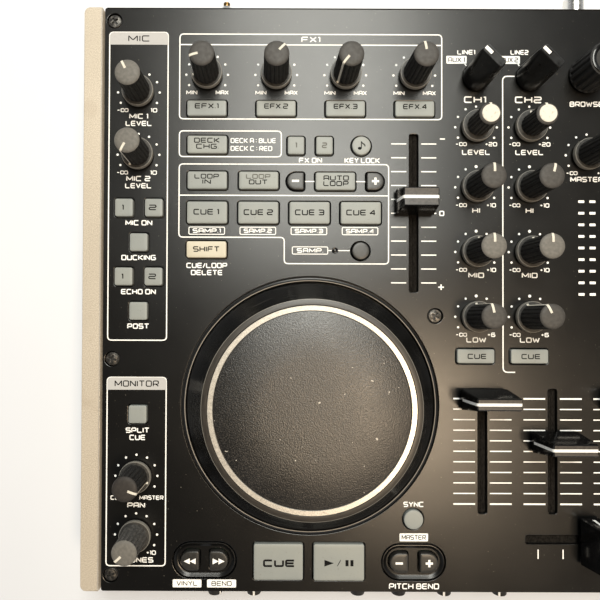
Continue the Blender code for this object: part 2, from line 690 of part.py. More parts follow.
def key_mat(name, keys, material):
    """Several keys moulded on one common flange."""
    low_x = min(x - width / 2 for _, x, _, width, _ in keys) - KEY_FLANGE
    high_x = max(x + width / 2 for _, x, _, width, _ in keys) + KEY_FLANGE
    depth = max(key[4] for key in keys) + 2 * KEY_FLANGE
    middle_x = (low_x + high_x) / 2
    middle_y = sum(key[2] for key in keys) / len(keys)
    under_panel = -PANEL_THICKNESS - GAP
    flange_bottom = under_panel - KEY_FLANGE_THICKNESS
    bm = bmesh.new()
    add_prism(bm, rectangle(high_x - low_x, depth), flange_bottom, under_panel)
    mat = add_object(name, bm, (middle_x, middle_y, PANEL_TOP), material)
    caps = bmesh.new()
    root = (under_panel + flange_bottom) / 2
    for kind, x, y, width, key_depth in keys:
        cap = key_outline(kind, x - middle_x, y - middle_y, width, key_depth, 0.0)
        add_prism(caps, cap, root, KEY_PROUD)
    combine(mat, caps, "UNION")
    stems = bmesh.new()
    for _, x, y, _, _ in keys:
        stem = rectangle(KEY_STEM, KEY_STEM, x - middle_x, y - middle_y)
        add_prism(stems, stem, -KEY_STEM_DEPTH, root - 0.2)
    combine(mat, stems, "UNION")


# ---- Assembly --------------------------------------------------------------------------------

def build_casing():
    panel_black = make_material("Panel black", (0.02, 0.02, 0.022), 0.42)
    casing_black = make_material("Casing black", (0.018, 0.018, 0.018), 0.5)
    champagne = make_material("Champagne rail", (0.72, 0.64, 0.50), 0.38, 0.7)
    rubber = make_material("Foot rubber", (0.015, 0.015, 0.015), 0.85)
    top_panel(panel_black)
    bottom_cover(casing_black)
    front_panel(casing_black)
    rear_panel(casing_black)
    side_rail("side_rail_left", -1, champagne)
    side_rail("side_rail_right", 1, champagne)
    for row_name, y in (("front", -FOOT_Y), ("rear", FOOT_Y)):
        for side_name, x in (("left", -FOOT_X), ("right", FOOT_X)):
            foot("foot_" + row_name + "_" + side_name, x, y, rubber)


def build_boards():
    board_green = make_material("Circuit board", (0.03, 0.12, 0.05), 0.6)
    socket_black = make_material("Socket black", (0.02, 0.02, 0.02), 0.45)
    left_control_board(board_green)
    right_knob_board(board_green)
    front_knob_board(socket_black)
    rear_socket_block(socket_black)


def build_controls():
    knob_rubber = make_material("Knob rubber", (0.035, 0.035, 0.033), 0.7)
    selector_gloss = make_material("Selector gloss", (0.015, 0.015, 0.015), 0.15)
    cap_black = make_material("Fader cap", (0.02, 0.02, 0.02), 0.3)
    key_grey = make_material("Key grey", (0.42, 0.44, 0.40), 0.5)
    for name, place in knob_places().items():
        knob(name, place, knob_rubber)
    selector_knob("channel_1_selector", (CHANNEL_KNOB_XS[0], CHANNEL_KNOB_YS[0]), selector_gloss)
    for side_name, side in (("left", -1), ("right", 1)):
        place = (side * DECK_X + PITCH_X, PITCH_ZERO_Y + PITCH_OFFSET)
        name = "pitch_fader_" + side_name
        fader(name, place, PITCH_CAP_BASE, PITCH_CAP_TOP, PITCH_CAP_HEIGHT, False, cap_black)
    cap = (CHANNEL_CAP_BASE, CHANNEL_CAP_TOP, CHANNEL_CAP_HEIGHT)
    for i, x in enumerate(CHANNEL_FADER_XS):
        place = (x, CHANNEL_FADER_TOP_Y + CHANNEL_FADER_REST[i])
        fader("channel_fader_" + str(i + 1), place, *cap, False, cap_black)
    fader("crossfader", (0.0, CROSSFADER_Y), *cap, True, cap_black)
    for name, keys in all_key_groups().items():
        if len(keys) == 1:
            single_key(name, keys[0], key_grey)
        else:
            key_mat(name, keys, key_grey)


def build_jog_wheels():
    jog_black = make_material("Jog black", (0.012, 0.012, 0.012), 0.2)
    bezel_black = make_material("Bezel black", (0.02, 0.02, 0.02), 0.35)
    for side_name, side in (("left", -1), ("right", 1)):
        jog_wheel("jog_wheel_" + side_name, side, jog_black)
        jog_bezel("jog_bezel_" + side_name, side, bezel_black)


def main():
    clear_scene()
    build_casing()
    build_boards()
    build_controls()
    build_jog_wheels()


main()
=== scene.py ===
"""Looks of the DJ controller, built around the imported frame.

Shapes are drawn in millimetres in the frame's axes and stored in metres: +X is the player's right,
+Y the rear edge and +Z up. Heights called "above the panel" count from the top panel's upper face.
The left deck is deck A. Deck B is a copy of it, one deck spacing to the right.
"""
import collections
import functools
import json
import math

import bmesh
import bpy
from mathutils import Matrix, Vector


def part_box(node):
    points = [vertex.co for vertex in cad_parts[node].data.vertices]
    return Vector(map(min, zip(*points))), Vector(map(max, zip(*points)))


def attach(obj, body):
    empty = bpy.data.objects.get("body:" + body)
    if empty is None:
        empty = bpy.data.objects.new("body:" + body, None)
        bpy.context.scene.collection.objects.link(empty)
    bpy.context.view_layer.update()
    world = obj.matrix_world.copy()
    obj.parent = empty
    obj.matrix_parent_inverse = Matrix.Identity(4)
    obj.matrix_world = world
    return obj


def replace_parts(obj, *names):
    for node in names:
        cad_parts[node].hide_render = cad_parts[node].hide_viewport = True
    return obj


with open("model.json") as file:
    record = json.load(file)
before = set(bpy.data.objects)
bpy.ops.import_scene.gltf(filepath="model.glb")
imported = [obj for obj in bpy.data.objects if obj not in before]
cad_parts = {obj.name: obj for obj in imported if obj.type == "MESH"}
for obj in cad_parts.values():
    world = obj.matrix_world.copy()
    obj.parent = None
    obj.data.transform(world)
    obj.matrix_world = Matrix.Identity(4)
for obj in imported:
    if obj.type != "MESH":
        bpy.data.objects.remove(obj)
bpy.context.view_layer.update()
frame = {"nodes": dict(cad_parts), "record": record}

MM = 0.001
SHARP_EDGE = 32


# ---- Places read from the frame ----------------------------------------------------------------

def corners(node):
    """Lowest and highest corner of a node, in millimetres."""
    low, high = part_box(node)
    return Vector(low) / MM, Vector(high) / MM


def middle(node):
    low, high = corners(node)
    return (low.x + high.x) / 2, (low.y + high.y) / 2


def joint_middle(name):
    """Middle of a joint's range, in degrees."""
    for joint in frame["record"]["behaviour"]["joints"]:
        if joint["name"] == name:
            return sum(joint["range_deg"]) / 2
    raise ValueError("no joint " + name)


PANEL_LOW, PANEL_HIGH = corners("top_panel")
TOP = PANEL_HIGH.z
PANEL_THICKNESS = PANEL_HIGH.z - PANEL_LOW.z
FRONT_Y = PANEL_LOW.y
REAR_Y = PANEL_HIGH.y
DECK_X, JOG_Y = middle("jog_wheel_right")
DECK_SHIFT = DECK_X - middle("jog_wheel_left")[0]
CHANNEL_X = middle("channel_1_level_knob")[0]
CHANNEL_STEP = 23.0
CHANNEL_XS = (CHANNEL_X, CHANNEL_X + CHANNEL_STEP, -CHANNEL_X - CHANNEL_STEP, -CHANNEL_X)
CHANNEL_ROWS = ("level", "high", "mid", "low")
STRIP_KNOBS = ("mic_1_knob", "mic_2_knob", "pan_knob", "phones_knob")
FX_KNOBS = tuple("fx_knob_" + str(number) for number in range(1, 5))
CHANNEL_KNOBS = tuple("channel_1_" + row + "_knob" for row in CHANNEL_ROWS)
BROWSE_Y = middle("fx_knob_1")[1]
MASTER_Y = 62.0


def height_of(node):
    """Height of a node's top above the panel."""
    return corners(node)[1].z - TOP


KNOB_HEIGHT = height_of("mic_1_knob")
LEVEL_KNOB_HEIGHT = height_of("channel_1_level_knob")

# Panel openings
SHAFT_HOLE = 3.6
HUB_HOLE = 6.4
JOG_OPENING = 55.35
JOG_FLOOR = -1.5
SLOT_WIDTH = 3.9
SLOT_OVERRUN = 4.2
KEY_CLEARANCE = 0.5
KEY_CORNER = 0.9
KEY_CROWN = 0.04
KEY_FLANGE = 1.0
HOLE_EDGE = 0.22
RAIL_GAP = 0.5
FOLD_WIDTH = 0.55
SCREW_SEAT = 3.3
SCREW_RADIUS = 2.75
SCREW_CROWN = 0.28
DISH_DEPTH = 0.9
DISH_GAP = 0.55
DISH_WALL = 2.3

# Printing
PRINT_LIFT = 0.03
LINE = 0.5
TEXT_WEIGHT = 0.47
TEXT_HEIGHT = 2.3
BOX_CORNER = 1.7
GLYPH_ROWS = 6
GLYPH_GAP = 1.5
USUAL_STRETCH = 1.37
GLYPH_CORNER = 1.5
LAYER = 0.004
LABEL_LIFT = 0.01


# ---- Flat outlines -----------------------------------------------------------------------------

def arc(x, y, radius, start, end, steps):
    turns = [math.radians(start + (end - start) * i / steps) for i in range(steps + 1)]
    return [(x + radius * math.cos(a), y + radius * math.sin(a)) for a in turns]


def disc(radius, x=0.0, y=0.0, steps=32):
    return arc(x, y, radius, 0, 360 - 360 / steps, steps - 1)


def rounded(width, depth, radii, x=0.0, y=0.0, steps=5):
    """A rectangle with its own radius at each corner: right rear, left rear, left front, right front."""
    outline = []
    for i, (side_x, side_y) in enumerate(((1, 1), (-1, 1), (-1, -1), (1, -1))):
        radius = max(radii[i], 0.02)
        corner_x = x + side_x * (width / 2 - radius)
        corner_y = y + side_y * (depth / 2 - radius)
        outline += arc(corner_x, corner_y, radius, 90 * i, 90 * i + 90, steps)
    return outline


def box_outline(width, depth, x=0.0, y=0.0, radius=0.02):
    return rounded(width, depth, (radius,) * 4, x, y)


def key_outline(kind, width, depth, margin, x=0.0, y=0.0):
    """Outline of a key cap grown by a margin. A left or right key is round on that side."""
    corner = max(KEY_CORNER + margin, 0.15)
    half = depth / 2 + margin - 0.02
    if kind == "round":
        return disc(depth / 2 + margin, x, y, 40)
    radii = {
        "rect": (corner,) * 4,
        "left": (corner, half, half, corner),
        "right": (half, corner, corner, half),
    }[kind]
    return rounded(width + 2 * margin, depth + 2 * margin, radii, x, y, steps=7)


def filleted(points, radius, closed=False, steps=4):
    """Round the corners of a run of points, and the sharper ones less."""
    result = []
    count = len(points)
    for i, point in enumerate(points):
        corner = Vector(point)
        if not closed and i in (0, count - 1):
            result.append(tuple(corner))
            continue
        before = Vector(points[i - 1]) - corner
        after = Vector(points[(i + 1) % count]) - corner
        sharpness = max(0.0, before.normalized().dot(after.normalized()))
        reach = min(radius, before.length / 2, after.length / 2) * (1 - 0.8 * sharpness)
        start = corner + before.normalized() * reach
        end = corner + after.normalized() * reach
        for step in range(steps + 1):
            s = step / steps
            result.append(tuple((1 - s) ** 2 * start + 2 * s * (1 - s) * corner + s * s * end))
    return result


# ---- Solids and sheets in a bmesh --------------------------------------------------------------

def at_height(outline, z):
    return [(x, y, z) for x, y in outline]


def add_loft(bm, rings):
    """Skin a closed solid over rings of equal point count, listed from the top down."""
    loops = [[bm.verts.new(point) for point in ring] for ring in rings]
    count = len(rings[0])
    for upper, lower in zip(loops, loops[1:]):
        for i in range(count):
            j = (i + 1) % count
            bm.faces.new((upper[i], lower[i], lower[j], upper[j]))
    bm.faces.new(loops[0])
    bm.faces.new(list(reversed(loops[-1])))


def add_prism(bm, outline, bottom, top):
    add_loft(bm, [at_height(outline, top), at_height(outline, bottom)])


def turned_mesh(name, profile, segments):
    """Turn (radius, height) points, from the top down, about a vertical axis."""
    bm = bmesh.new()
    add_loft(bm, [at_height(disc(radius, steps=segments), z) for radius, z in profile])
    return mesh_from(bm, name)


def ring_mesh(name, profile, segments):
    """Turn a closed (radius, height) outline, clockwise seen from the front, into an open ring."""
    bm = bmesh.new()
    loops = []
    for radius, z in profile:
        loops.append([bm.verts.new(point) for point in at_height(disc(radius, steps=segments), z)])
    for upper, lower in zip(loops, loops[1:] + loops[:1]):
        for i in range(segments):
            j = (i + 1) % segments
            bm.faces.new((upper[i], lower[i], lower[j], upper[j]))
    return mesh_from(bm, name)


def add_patch(bm, outline, z):
    """A flat printed area."""
    bm.faces.new([bm.verts.new((x, y, z)) for x, y in outline])


def add_stripe(bm, points, width, z, closed=False):
    """A printed stripe of even width along a run of points."""
    count = len(points)
    pairs = []
    for i, point in enumerate(points):
        here = Vector(point)
        ways = []
        if closed or i > 0:
            ways.append((here - Vector(points[i - 1])).normalized())
        if closed or i < count - 1:
            ways.append((Vector(points[(i + 1) % count]) - here).normalized())
        way = sum(ways, Vector((0, 0))).normalized()
        across = Vector((-way.y, way.x))
        square = Vector((-ways[0].y, ways[0].x))
        across *= width / 2 / max(across.dot(square), 0.6)
        pairs.append([bm.verts.new((*(here + across), z)), bm.verts.new((*(here - across), z))])
    for i in range(count if closed else count - 1):
        left, right = pairs[i]
        next_left, next_right = pairs[(i + 1) % count]
        bm.faces.new((left, right, next_right, next_left))


def strip_mesh(name, path, width, turn=0.0):
    """A strip across a part: path gives (distance, height) points, turn is its direction from +Y."""
    bm = bmesh.new()
    spin = Matrix.Rotation(turn, 3, "Z")
    pairs = []
    for distance, z in path:
        ends = [spin @ Vector((side * width / 2, distance, z)) for side in (-1, 1)]
        pairs.append([bm.verts.new(end) for end in ends])
    for (left, right), (next_left, next_right) in zip(pairs, pairs[1:]):
        bm.faces.new((left, right, next_right, next_left))
    return mesh_from(bm, name, tidy=False)


def smooth(mesh):
    """Smooth shading that keeps the sharper edges."""
    mesh.shade_smooth()
    mesh.set_sharp_from_angle(angle=math.radians(SHARP_EDGE))


def mesh_from(bm, name, tidy=True):
    """Turn a bmesh drawn in millimetres into a mesh in metres."""
    if tidy:
        bmesh.ops.recalc_face_normals(bm, faces=bm.faces)
    mesh = bpy.data.meshes.new(name)
    bm.to_mesh(mesh)
    bm.free()
    mesh.transform(Matrix.Scale(MM, 4))
    smooth(mesh)
    return mesh


def plate_mesh(name, outlines, bottom, top, edge):
    """A plate with soft edges. The first outline is its rim and the others are holes in it."""
    curve = bpy.data.curves.new(name, "CURVE")
    curve.dimensions = "2D"
    curve.fill_mode = "BOTH"
    curve.extrude = (top - bottom) / 2 - edge
    curve.bevel_depth = edge
    curve.bevel_resolution = 1
    curve.offset = -edge
    for i, outline in enumerate(outlines):
        points = outline if i == 0 else list(reversed(outline))
        spline = curve.splines.new("POLY")
        spline.points.add(len(points) - 1)
        for point, (x, y) in zip(spline.points, points):
            point.co = (x, y, 0, 1)
        spline.use_cyclic_u = True
    maker = bpy.data.objects.new(name, curve)
    mesh = bpy.data.meshes.new_from_object(maker)
    bpy.data.objects.remove(maker)
    bpy.data.curves.remove(curve)
    mesh.materials.clear()
    mesh.transform(Matrix.Scale(MM, 4) @ Matrix.Translation((0, 0, (top + bottom) / 2)))
    smooth(mesh)
    return mesh


# ---- Materials ---------------------------------------------------------------------------------

# The span that most of a noise's values lie in
NOISE_SPAN = (0.3, 0.7)
# Half the width of the soft edge of a coloured band
BAND_EDGE = 0.04


def add_node(material, kind, **settings):
    node = material.node_tree.nodes.new(kind)
    for name, value in settings.items():
        setattr(node, name, value)
    return node


def link(material, source, target):
    material.node_tree.links.new(source, target)


def shader_of(material):
    return material.node_tree.nodes["Principled BSDF"]


def new_material(name, colour, roughness, metallic=0.0, **extra):
    material = bpy.data.materials.new(name)
    material.use_nodes = True
    inputs = shader_of(material).inputs
    inputs["Base Color"].default_value = (*colour, 1.0)
    inputs["Roughness"].default_value = roughness
    inputs["Metallic"].default_value = metallic
    for socket, value in extra.items():
        inputs[socket.replace("_", " ")].default_value = value
    return material


def noise(material, scale, detail=3.0, stretch=(1, 1, 1)):
    """Noise in the piece's own space, with about one blob per scale-th of a metre."""
    coords = add_node(material, "ShaderNodeTexCoord")
    mapping = add_node(material, "ShaderNodeMapping")
    mapping.inputs["Scale"].default_value = stretch
    texture = add_node(material, "ShaderNodeTexNoise")
    texture.inputs["Scale"].default_value = scale
    texture.inputs["Detail"].default_value = detail
    link(material, coords.outputs["Object"], mapping.inputs["Vector"])
    link(material, mapping.outputs["Vector"], texture.inputs["Vector"])
    return texture.outputs["Fac"]


def mapped(material, source, low_in, high_in, low_out, high_out):
    """Stretch a value from one span to another, held within its ends."""
    node = add_node(material, "ShaderNodeMapRange")
    for socket, value in zip(("From Min", "From Max", "To Min", "To Max"),
                             (low_in, high_in, low_out, high_out)):
        node.inputs[socket].default_value = value
    link(material, source, node.inputs["Value"])
    return node.outputs["Result"]


def mixed(material, factor, first, second):
    """Blend two colours by a factor. Either may be a colour or another node's output."""
    node = add_node(material, "ShaderNodeMix", data_type="RGBA")
    link(material, factor, node.inputs["Factor"])
    for socket, value in (("A", first), ("B", second)):
        target = [i for i in node.inputs if i.name == socket and i.type == "RGBA"][0]
        if isinstance(value, tuple):
            target.default_value = (*value, 1.0)
        else:
            link(material, value, target)
    return [o for o in node.outputs if o.type == "RGBA"][0]


def colour_from(material, source):
    link(material, source, shader_of(material).inputs["Base Color"])


def roughness_from(material, source, low, high):
    """Let a noise move the roughness between two values."""
    spread = mapped(material, source, *NOISE_SPAN, low, high)
    link(material, spread, shader_of(material).inputs["Roughness"])


def bump_from(material, height, strength, distance):
    node = add_node(material, "ShaderNodeBump")
    node.inputs["Strength"].default_value = strength
    node.inputs["Distance"].default_value = distance
    link(material, height, node.inputs["Height"])
    link(material, node.outputs["Normal"], shader_of(material).inputs["Normal"])


def mottled(material, source, span, first, second, most=1.0):
    """Blend one colour into another as a noise rises through a span, by no more than a given share."""
    return mixed(material, mapped(material, source, *span, 0.0, most), first, second)


def specks(material, scale, threshold, base, speck):
    """Scattered small specks of dust or wear over a base colour."""
    return mottled(material, noise(material, scale, 1.0), (threshold, threshold + 0.02), base, speck)


def radius_of(material, coords):
    """Distance from the piece's own upright axis, in metres."""
    flat = add_node(material, "ShaderNodeVectorMath", operation="MULTIPLY")
    flat.inputs[1].default_value = (1.0, 1.0, 0.0)
    length = add_node(material, "ShaderNodeVectorMath", operation="LENGTH")
    link(material, coords.outputs["Object"], flat.inputs[0])
    link(material, flat.outputs["Vector"], length.inputs[0])
    return length.outputs["Value"]


def banded(material, inner, outer, base, band):
    """A base colour with another one between two radii, in millimetres, about the piece's own axis."""
    radius = radius_of(material, add_node(material, "ShaderNodeTexCoord"))
    start = mapped(material, radius, (inner - BAND_EDGE) * MM, (inner + BAND_EDGE) * MM, 0.0, 1.0)
    end = mapped(material, radius, (outer - BAND_EDGE) * MM, (outer + BAND_EDGE) * MM, 1.0, 0.0)
    both = add_node(material, "ShaderNodeMath", operation="MULTIPLY")
    link(material, start, both.inputs[0])
    link(material, end, both.inputs[1])
    return mixed(material, both.outputs["Value"], base, band)


def turned_noise(material, rings, spokes, detail=3.0):
    """Noise drawn out along circles about the piece's own axis, as left by turning or wiping."""
    coords = add_node(material, "ShaderNodeTexCoord")
    parts = add_node(material, "ShaderNodeSeparateXYZ")
    angle = add_node(material, "ShaderNodeMath", operation="ARCTAN2")
    polar = add_node(material, "ShaderNodeCombineXYZ")
    mapping = add_node(material, "ShaderNodeMapping")
    mapping.inputs["Scale"].default_value = (rings, spokes, 1.0)
    texture = add_node(material, "ShaderNodeTexNoise")
    texture.inputs["Scale"].default_value = 1.0
    texture.inputs["Detail"].default_value = detail
    link(material, coords.outputs["Object"], parts.inputs["Vector"])
    link(material, parts.outputs["Y"], angle.inputs[0])
    link(material, parts.outputs["X"], angle.inputs[1])
    link(material, radius_of(material, coords), polar.inputs["X"])
    link(material, angle.outputs["Value"], polar.inputs["Y"])
    link(material, polar.outputs["Vector"], mapping.inputs["Vector"])
    link(material, mapping.outputs["Vector"], texture.inputs["Vector"])
    return texture.outputs["Fac"]


def panel_paint():
    """Semi-matt black paint with fine texture, faint smears and a little dust."""
    material = new_material("panel_paint", (0.003, 0.003, 0.003), 0.29)
    smears = noise(material, 18, 4.0)
    worn = mottled(material, smears, (0.35, 0.7), (0.0025, 0.0025, 0.0025), (0.0045, 0.0042, 0.0038))
    colour_from(material, specks(material, 1300, 0.77, worn, (0.12, 0.11, 0.09)))
    roughness_from(material, noise(material, 45, 5.0), 0.275, 0.31)
    bump_from(material, noise(material, 3000, 3.0), 0.4, 0.00006)
    return material


def simple_look(name, colour, roughness, grain, span, first, second, bump=None, **extra):
    """Two shades mottled by a grain (scale, detail). A bump is (scale, detail, strength, depth)."""
    material = new_material(name, colour, roughness, **extra)
    colour_from(material, mottled(material, noise(material, *grain), span, first, second))
    if bump:
        bump_from(material, noise(material, *bump[:2]), *bump[2:])
    return material


def casing_paint():
    return simple_look("casing_paint", (0.014, 0.014, 0.014), 0.5, (60, 3.0), NOISE_SPAN,
                       (0.011, 0.011, 0.011), (0.018, 0.017, 0.016), (2200, 3.0, 0.35, 0.0001))


def rail_metal():
    """Champagne metallic finish with a fine grain and faint handling marks."""
    material = new_material("rail_metal", (0.52, 0.455, 0.365), 0.42, 0.2)
    grain = noise(material, 2400, 2.0)
    fine = mottled(material, grain, (0.35, 0.65), (0.43, 0.37, 0.29), (0.62, 0.555, 0.46))
    wear = noise(material, 70, 6.0)
    colour_from(material, mottled(material, wear, (0.60, 0.72), fine, (0.40, 0.33, 0.25), 0.35))
    roughness_from(material, noise(material, 30, 4.0), 0.38, 0.50)
    bump_from(material, noise(material, 3200, 2.0), 0.15, 0.00005)
    return material


def knob_rubber(name, low, high):
    """Soft dark rubber, with the dusty bloom that handling leaves on it."""
    bump = (5200, 2.0, 0.25, 0.00005)
    material = simple_look(name, low, 0.62, (900, 4.0), (0.35, 0.7), low, high, bump)
    roughness_from(material, noise(material, 400, 3.0), 0.55, 0.70)
    return material


def skirt_rubber():
    """Skirt of a knob, with a painted highlight along its outer edge."""
    material = new_material("skirt_rubber", (0.04, 0.038, 0.034), 0.5)
    bloom = noise(material, 900, 4.0)
    face = mottled(material, bloom, (0.35, 0.7), (0.022, 0.021, 0.019), (0.05, 0.047, 0.043))
    # The light band at the skirt's outer edge is a painted highlight where the flat rim catches the
    # light
    colour_from(material, banded(material, 6.42, 6.9, face, (0.19, 0.18, 0.16)))
    return material


def gloss_black(name, roughness):
    """Moulded gloss plastic with very faint haze."""
    material = simple_look(name, (0.004, 0.004, 0.004), roughness, (500, 5.0), (0.55, 0.75),
                           (0.0035, 0.0035, 0.0035), (0.012, 0.011, 0.010))
    roughness_from(material, noise(material, 300, 6.0), roughness * 0.85, roughness * 1.2)
    return material


def jog_plastic():
    """Gloss plastic of the jog wall, with fine scratches that run round it."""
    material = new_material("jog_plastic", (0.004, 0.004, 0.004), 0.22)
    scratches = turned_noise(material, 6500, 1.6, 2.0)
    colour_from(material, mottled(material, scratches, (0.66, 0.72), (0.004, 0.004, 0.004),
                                  (0.05, 0.047, 0.043)))
    roughness_from(material, turned_noise(material, 900, 3.0), 0.2, 0.28)
    return material


def cap_plastic():
    """Satin plastic of the fader tops, worn a little brown by fingers."""
    material = simple_look("cap_plastic", (0.035, 0.031, 0.028), 0.42, (900, 4.0), NOISE_SPAN,
                           (0.026, 0.023, 0.021), (0.055, 0.048, 0.042), (4000, 2.0, 0.15, 0.00005))
    roughness_from(material, noise(material, 500, 3.0), 0.36, 0.48)
    return material


def key_plastic():
    """Frosted grey key tops, slightly yellowed in patches."""
    material = new_material("key_plastic", (0.235, 0.25, 0.24), 0.5)
    tone = noise(material, 55, 4.0)
    base = mottled(material, tone, NOISE_SPAN, (0.225, 0.243, 0.238), (0.265, 0.278, 0.260))
    grime = noise(material, 1500, 5.0)
    colour_from(material, mottled(material, grime, (0.62, 0.78), base, (0.15, 0.14, 0.12), 0.6))
    bump_from(material, noise(material, 3000, 2.0), 0.12, 0.00005)
    return material


def lit_key_plastic():
    return simple_look("lit_key_plastic", (0.53, 0.49, 0.39), 0.45, (90, 3.0), NOISE_SPAN,
                       (0.49, 0.45, 0.35), (0.57, 0.53, 0.43))


def dark_key_plastic():
    return simple_look("dark_key_plastic", (0.02, 0.019, 0.018), 0.38, (900, 3.0), NOISE_SPAN,
                       (0.014, 0.014, 0.013), (0.028, 0.027, 0.025), (4000, 2.0, 0.15, 0.00005))


def print_ink(name, colour, worn):
    """Screen print with a slightly uneven ink film."""
    return simple_look(name, colour, 0.8, (900, 3.0), (0.55, 0.75), colour, worn,
                       Specular_IOR_Level=0.15)


def jog_sparkle():
    """Matt jog top with a fine metallic fleck, dust and a few bright chips."""
    material = new_material("jog_sparkle", (0.012, 0.011, 0.010), 0.38, Specular_IOR_Level=0.8)
    fleck = noise(material, 1900, 2.0)
    ground = mottled(material, fleck, (0.46, 0.64), (0.001, 0.001, 0.001), (0.026, 0.023, 0.020))
    colour_from(material, specks(material, 560, 0.78, ground, (0.45, 0.42, 0.37)))
    roughness_from(material, noise(material, 60, 4.0), 0.33, 0.40)
    bump_from(material, noise(material, 1900, 2.0), 1.0, 0.00015)
    return material


def rim_plastic():
    """Brown-grey band outside the bright ring, brushed round by fingers, with a painted highlight line
    at its outer edge.
    """
    material = new_material("rim_plastic", (0.03, 0.026, 0.022), 0.38)
    brushed = turned_noise(material, 4000, 8.0)
    face = mottled(material, brushed, (0.35, 0.65), (0.016, 0.014, 0.012), (0.042, 0.036, 0.030))
    # The lighter band at the outer edge is a painted highlight of the rim's chamfer
    colour_from(material, banded(material, 44.9, 45.6, face, (0.18, 0.17, 0.15)))
    return material


def bezel_plastic():
    """Black plastic with a painted highlight along its narrow ridge."""
    material = new_material("bezel_plastic", (0.004, 0.004, 0.004), 0.3)
    haze = turned_noise(material, 2500, 6.0)
    face = mottled(material, haze, (0.5, 0.7), (0.004, 0.004, 0.004), (0.014, 0.013, 0.012))
    # The light band over the ridge is a painted highlight
    colour_from(material, banded(material, 53.2, 53.55, face, (0.17, 0.155, 0.135)))
    return material


def bright_ring_metal():
    """Diamond-cut ring with a few nicks along the way round."""
    material = new_material("bright_ring_metal", (0.53, 0.50, 0.45), 0.35, 0.5)
    grain = noise(material, 2600, 2.0)
    fine = mottled(material, grain, NOISE_SPAN, (0.40, 0.375, 0.335), (0.66, 0.63, 0.57))
    nicks = noise(material, 700, 3.0)
    colour_from(material, mottled(material, nicks, (0.70, 0.74), fine, (0.22, 0.20, 0.18), 0.6))
    roughness_from(material, noise(material, 900, 3.0), 0.28, 0.42)
    return material


def screw_metal():
    return simple_look("screw_metal", (0.10, 0.095, 0.09), 0.42, (800, 4.0), (0.45, 0.65),
                       (0.05, 0.048, 0.045), (0.15, 0.14, 0.128), metallic=0.85)


def plated_metal():
    material = new_material("plated_metal", (0.74, 0.73, 0.70), 0.25, 1.0)
    roughness_from(material, noise(material, 400, 4.0), 0.18, 0.36)
    return material


def brass():
    return simple_look("brass", (0.62, 0.44, 0.20), 0.3, (900, 4.0), (0.4, 0.7),
                       (0.66, 0.47, 0.21), (0.36, 0.24, 0.11), metallic=1.0)


def slot_felt():
    """Brown-grey dust felt under the fader slots."""
    material = new_material("slot_felt", (0.007, 0.006, 0.005), 0.95, Specular_IOR_Level=0.1)
    fuzz = noise(material, 2400, 5.0, (1, 0.4, 1))
    colour_from(material, mottled(material, fuzz, (0.35, 0.65), (0.003, 0.0025, 0.002),
                                  (0.016, 0.014, 0.012)))
    bump_from(material, noise(material, 2400, 5.0), 0.8, 0.0003)
    return material


def foot_rubber():
    return simple_look("foot_rubber", (0.015, 0.015, 0.015), 0.8, (300, 3.0), NOISE_SPAN,
                       (0.012, 0.012, 0.012), (0.03, 0.028, 0.026), (1800, 3.0, 0.4, 0.0001))


def board_resin():
    """Green board with paler traces running along it."""
    material = new_material("board_resin", (0.02, 0.09, 0.04), 0.45)
    trace = noise(material, 500, 0.0, (1, 0.2, 1))
    resin, copper = (0.015, 0.07, 0.03), (0.03, 0.12, 0.055)
    colour_from(material, mottled(material, trace, (0.5, 0.52), resin, copper))
    return material


def tinted_plastic(name, colour):
    deep = tuple(0.8 * value for value in colour)
    return simple_look(name, colour, 0.4, (500, 3.0), NOISE_SPAN, deep, colour)


def table_surface():
    """Pale matt tabletop with a barely visible mottle."""
    return simple_look("table_surface", (0.68, 0.71, 0.77), 0.75, (9, 4.0), NOISE_SPAN,
                       (0.67, 0.70, 0.76), (0.69, 0.72, 0.78))


MATERIALS = {
    "panel": panel_paint(),
    "casing": casing_paint(),
    "rail": rail_metal(),
    "knob": knob_rubber("knob_rubber", (0.006, 0.006, 0.006), (0.016, 0.015, 0.014)),
    "knob_worn": knob_rubber("knob_worn_rubber", (0.016, 0.014, 0.012), (0.042, 0.038, 0.033)),
    "knob_dusty": knob_rubber("knob_dusty_rubber", (0.04, 0.038, 0.036), (0.10, 0.095, 0.088)),
    "knob_skirt": skirt_rubber(),
    "knob_top": knob_rubber("knob_top_rubber", (0.035, 0.032, 0.029), (0.050, 0.047, 0.043)),
    # Darker, brown-tinted copy of the knob top for the pan knob: painted shade
    "knob_top_brown": knob_rubber("knob_top_brown_rubber", (0.016, 0.013, 0.011), (0.024, 0.020, 0.017)),
    # Lighter copy of the knob top: a painted sheen where the tops catch the light
    "knob_top_worn": knob_rubber("knob_top_worn_rubber", (0.105, 0.10, 0.09), (0.14, 0.132, 0.118)),
    "gloss": gloss_black("gloss_plastic", 0.16),
    "selector": gloss_black("selector_plastic", 0.30),
    "jog": jog_plastic(),
    "jog_rim": rim_plastic(),
    "bezel": bezel_plastic(),
    "cap": cap_plastic(),
    "brass": brass(),
    "key": key_plastic(),
    "lit_key": lit_key_plastic(),
    "dark_key": dark_key_plastic(),
    "print": print_ink("print_white", (0.90, 0.90, 0.88), (0.72, 0.71, 0.69)),
    "print_grey": print_ink("print_grey", (0.45, 0.445, 0.44), (0.41, 0.405, 0.40)),
    "print_dark": print_ink("print_dark", (0.004, 0.004, 0.004), (0.014, 0.014, 0.013)),
    "print_faint": print_ink("print_faint", (0.11, 0.11, 0.10), (0.17, 0.17, 0.155)),
    "print_cream": print_ink("print_cream", (0.64, 0.61, 0.54), (0.48, 0.45, 0.38)),
    "jog_top": jog_sparkle(),
    "bright_ring": bright_ring_metal(),
    "screw": screw_metal(),
    "bright_metal": plated_metal(),
    "felt": slot_felt(),
    "foot": foot_rubber(),
    "board": board_resin(),
    "red": tinted_plastic("red_insulator", (0.45, 0.02, 0.02)),
    "white": tinted_plastic("white_insulator", (0.72, 0.72, 0.70)),
}


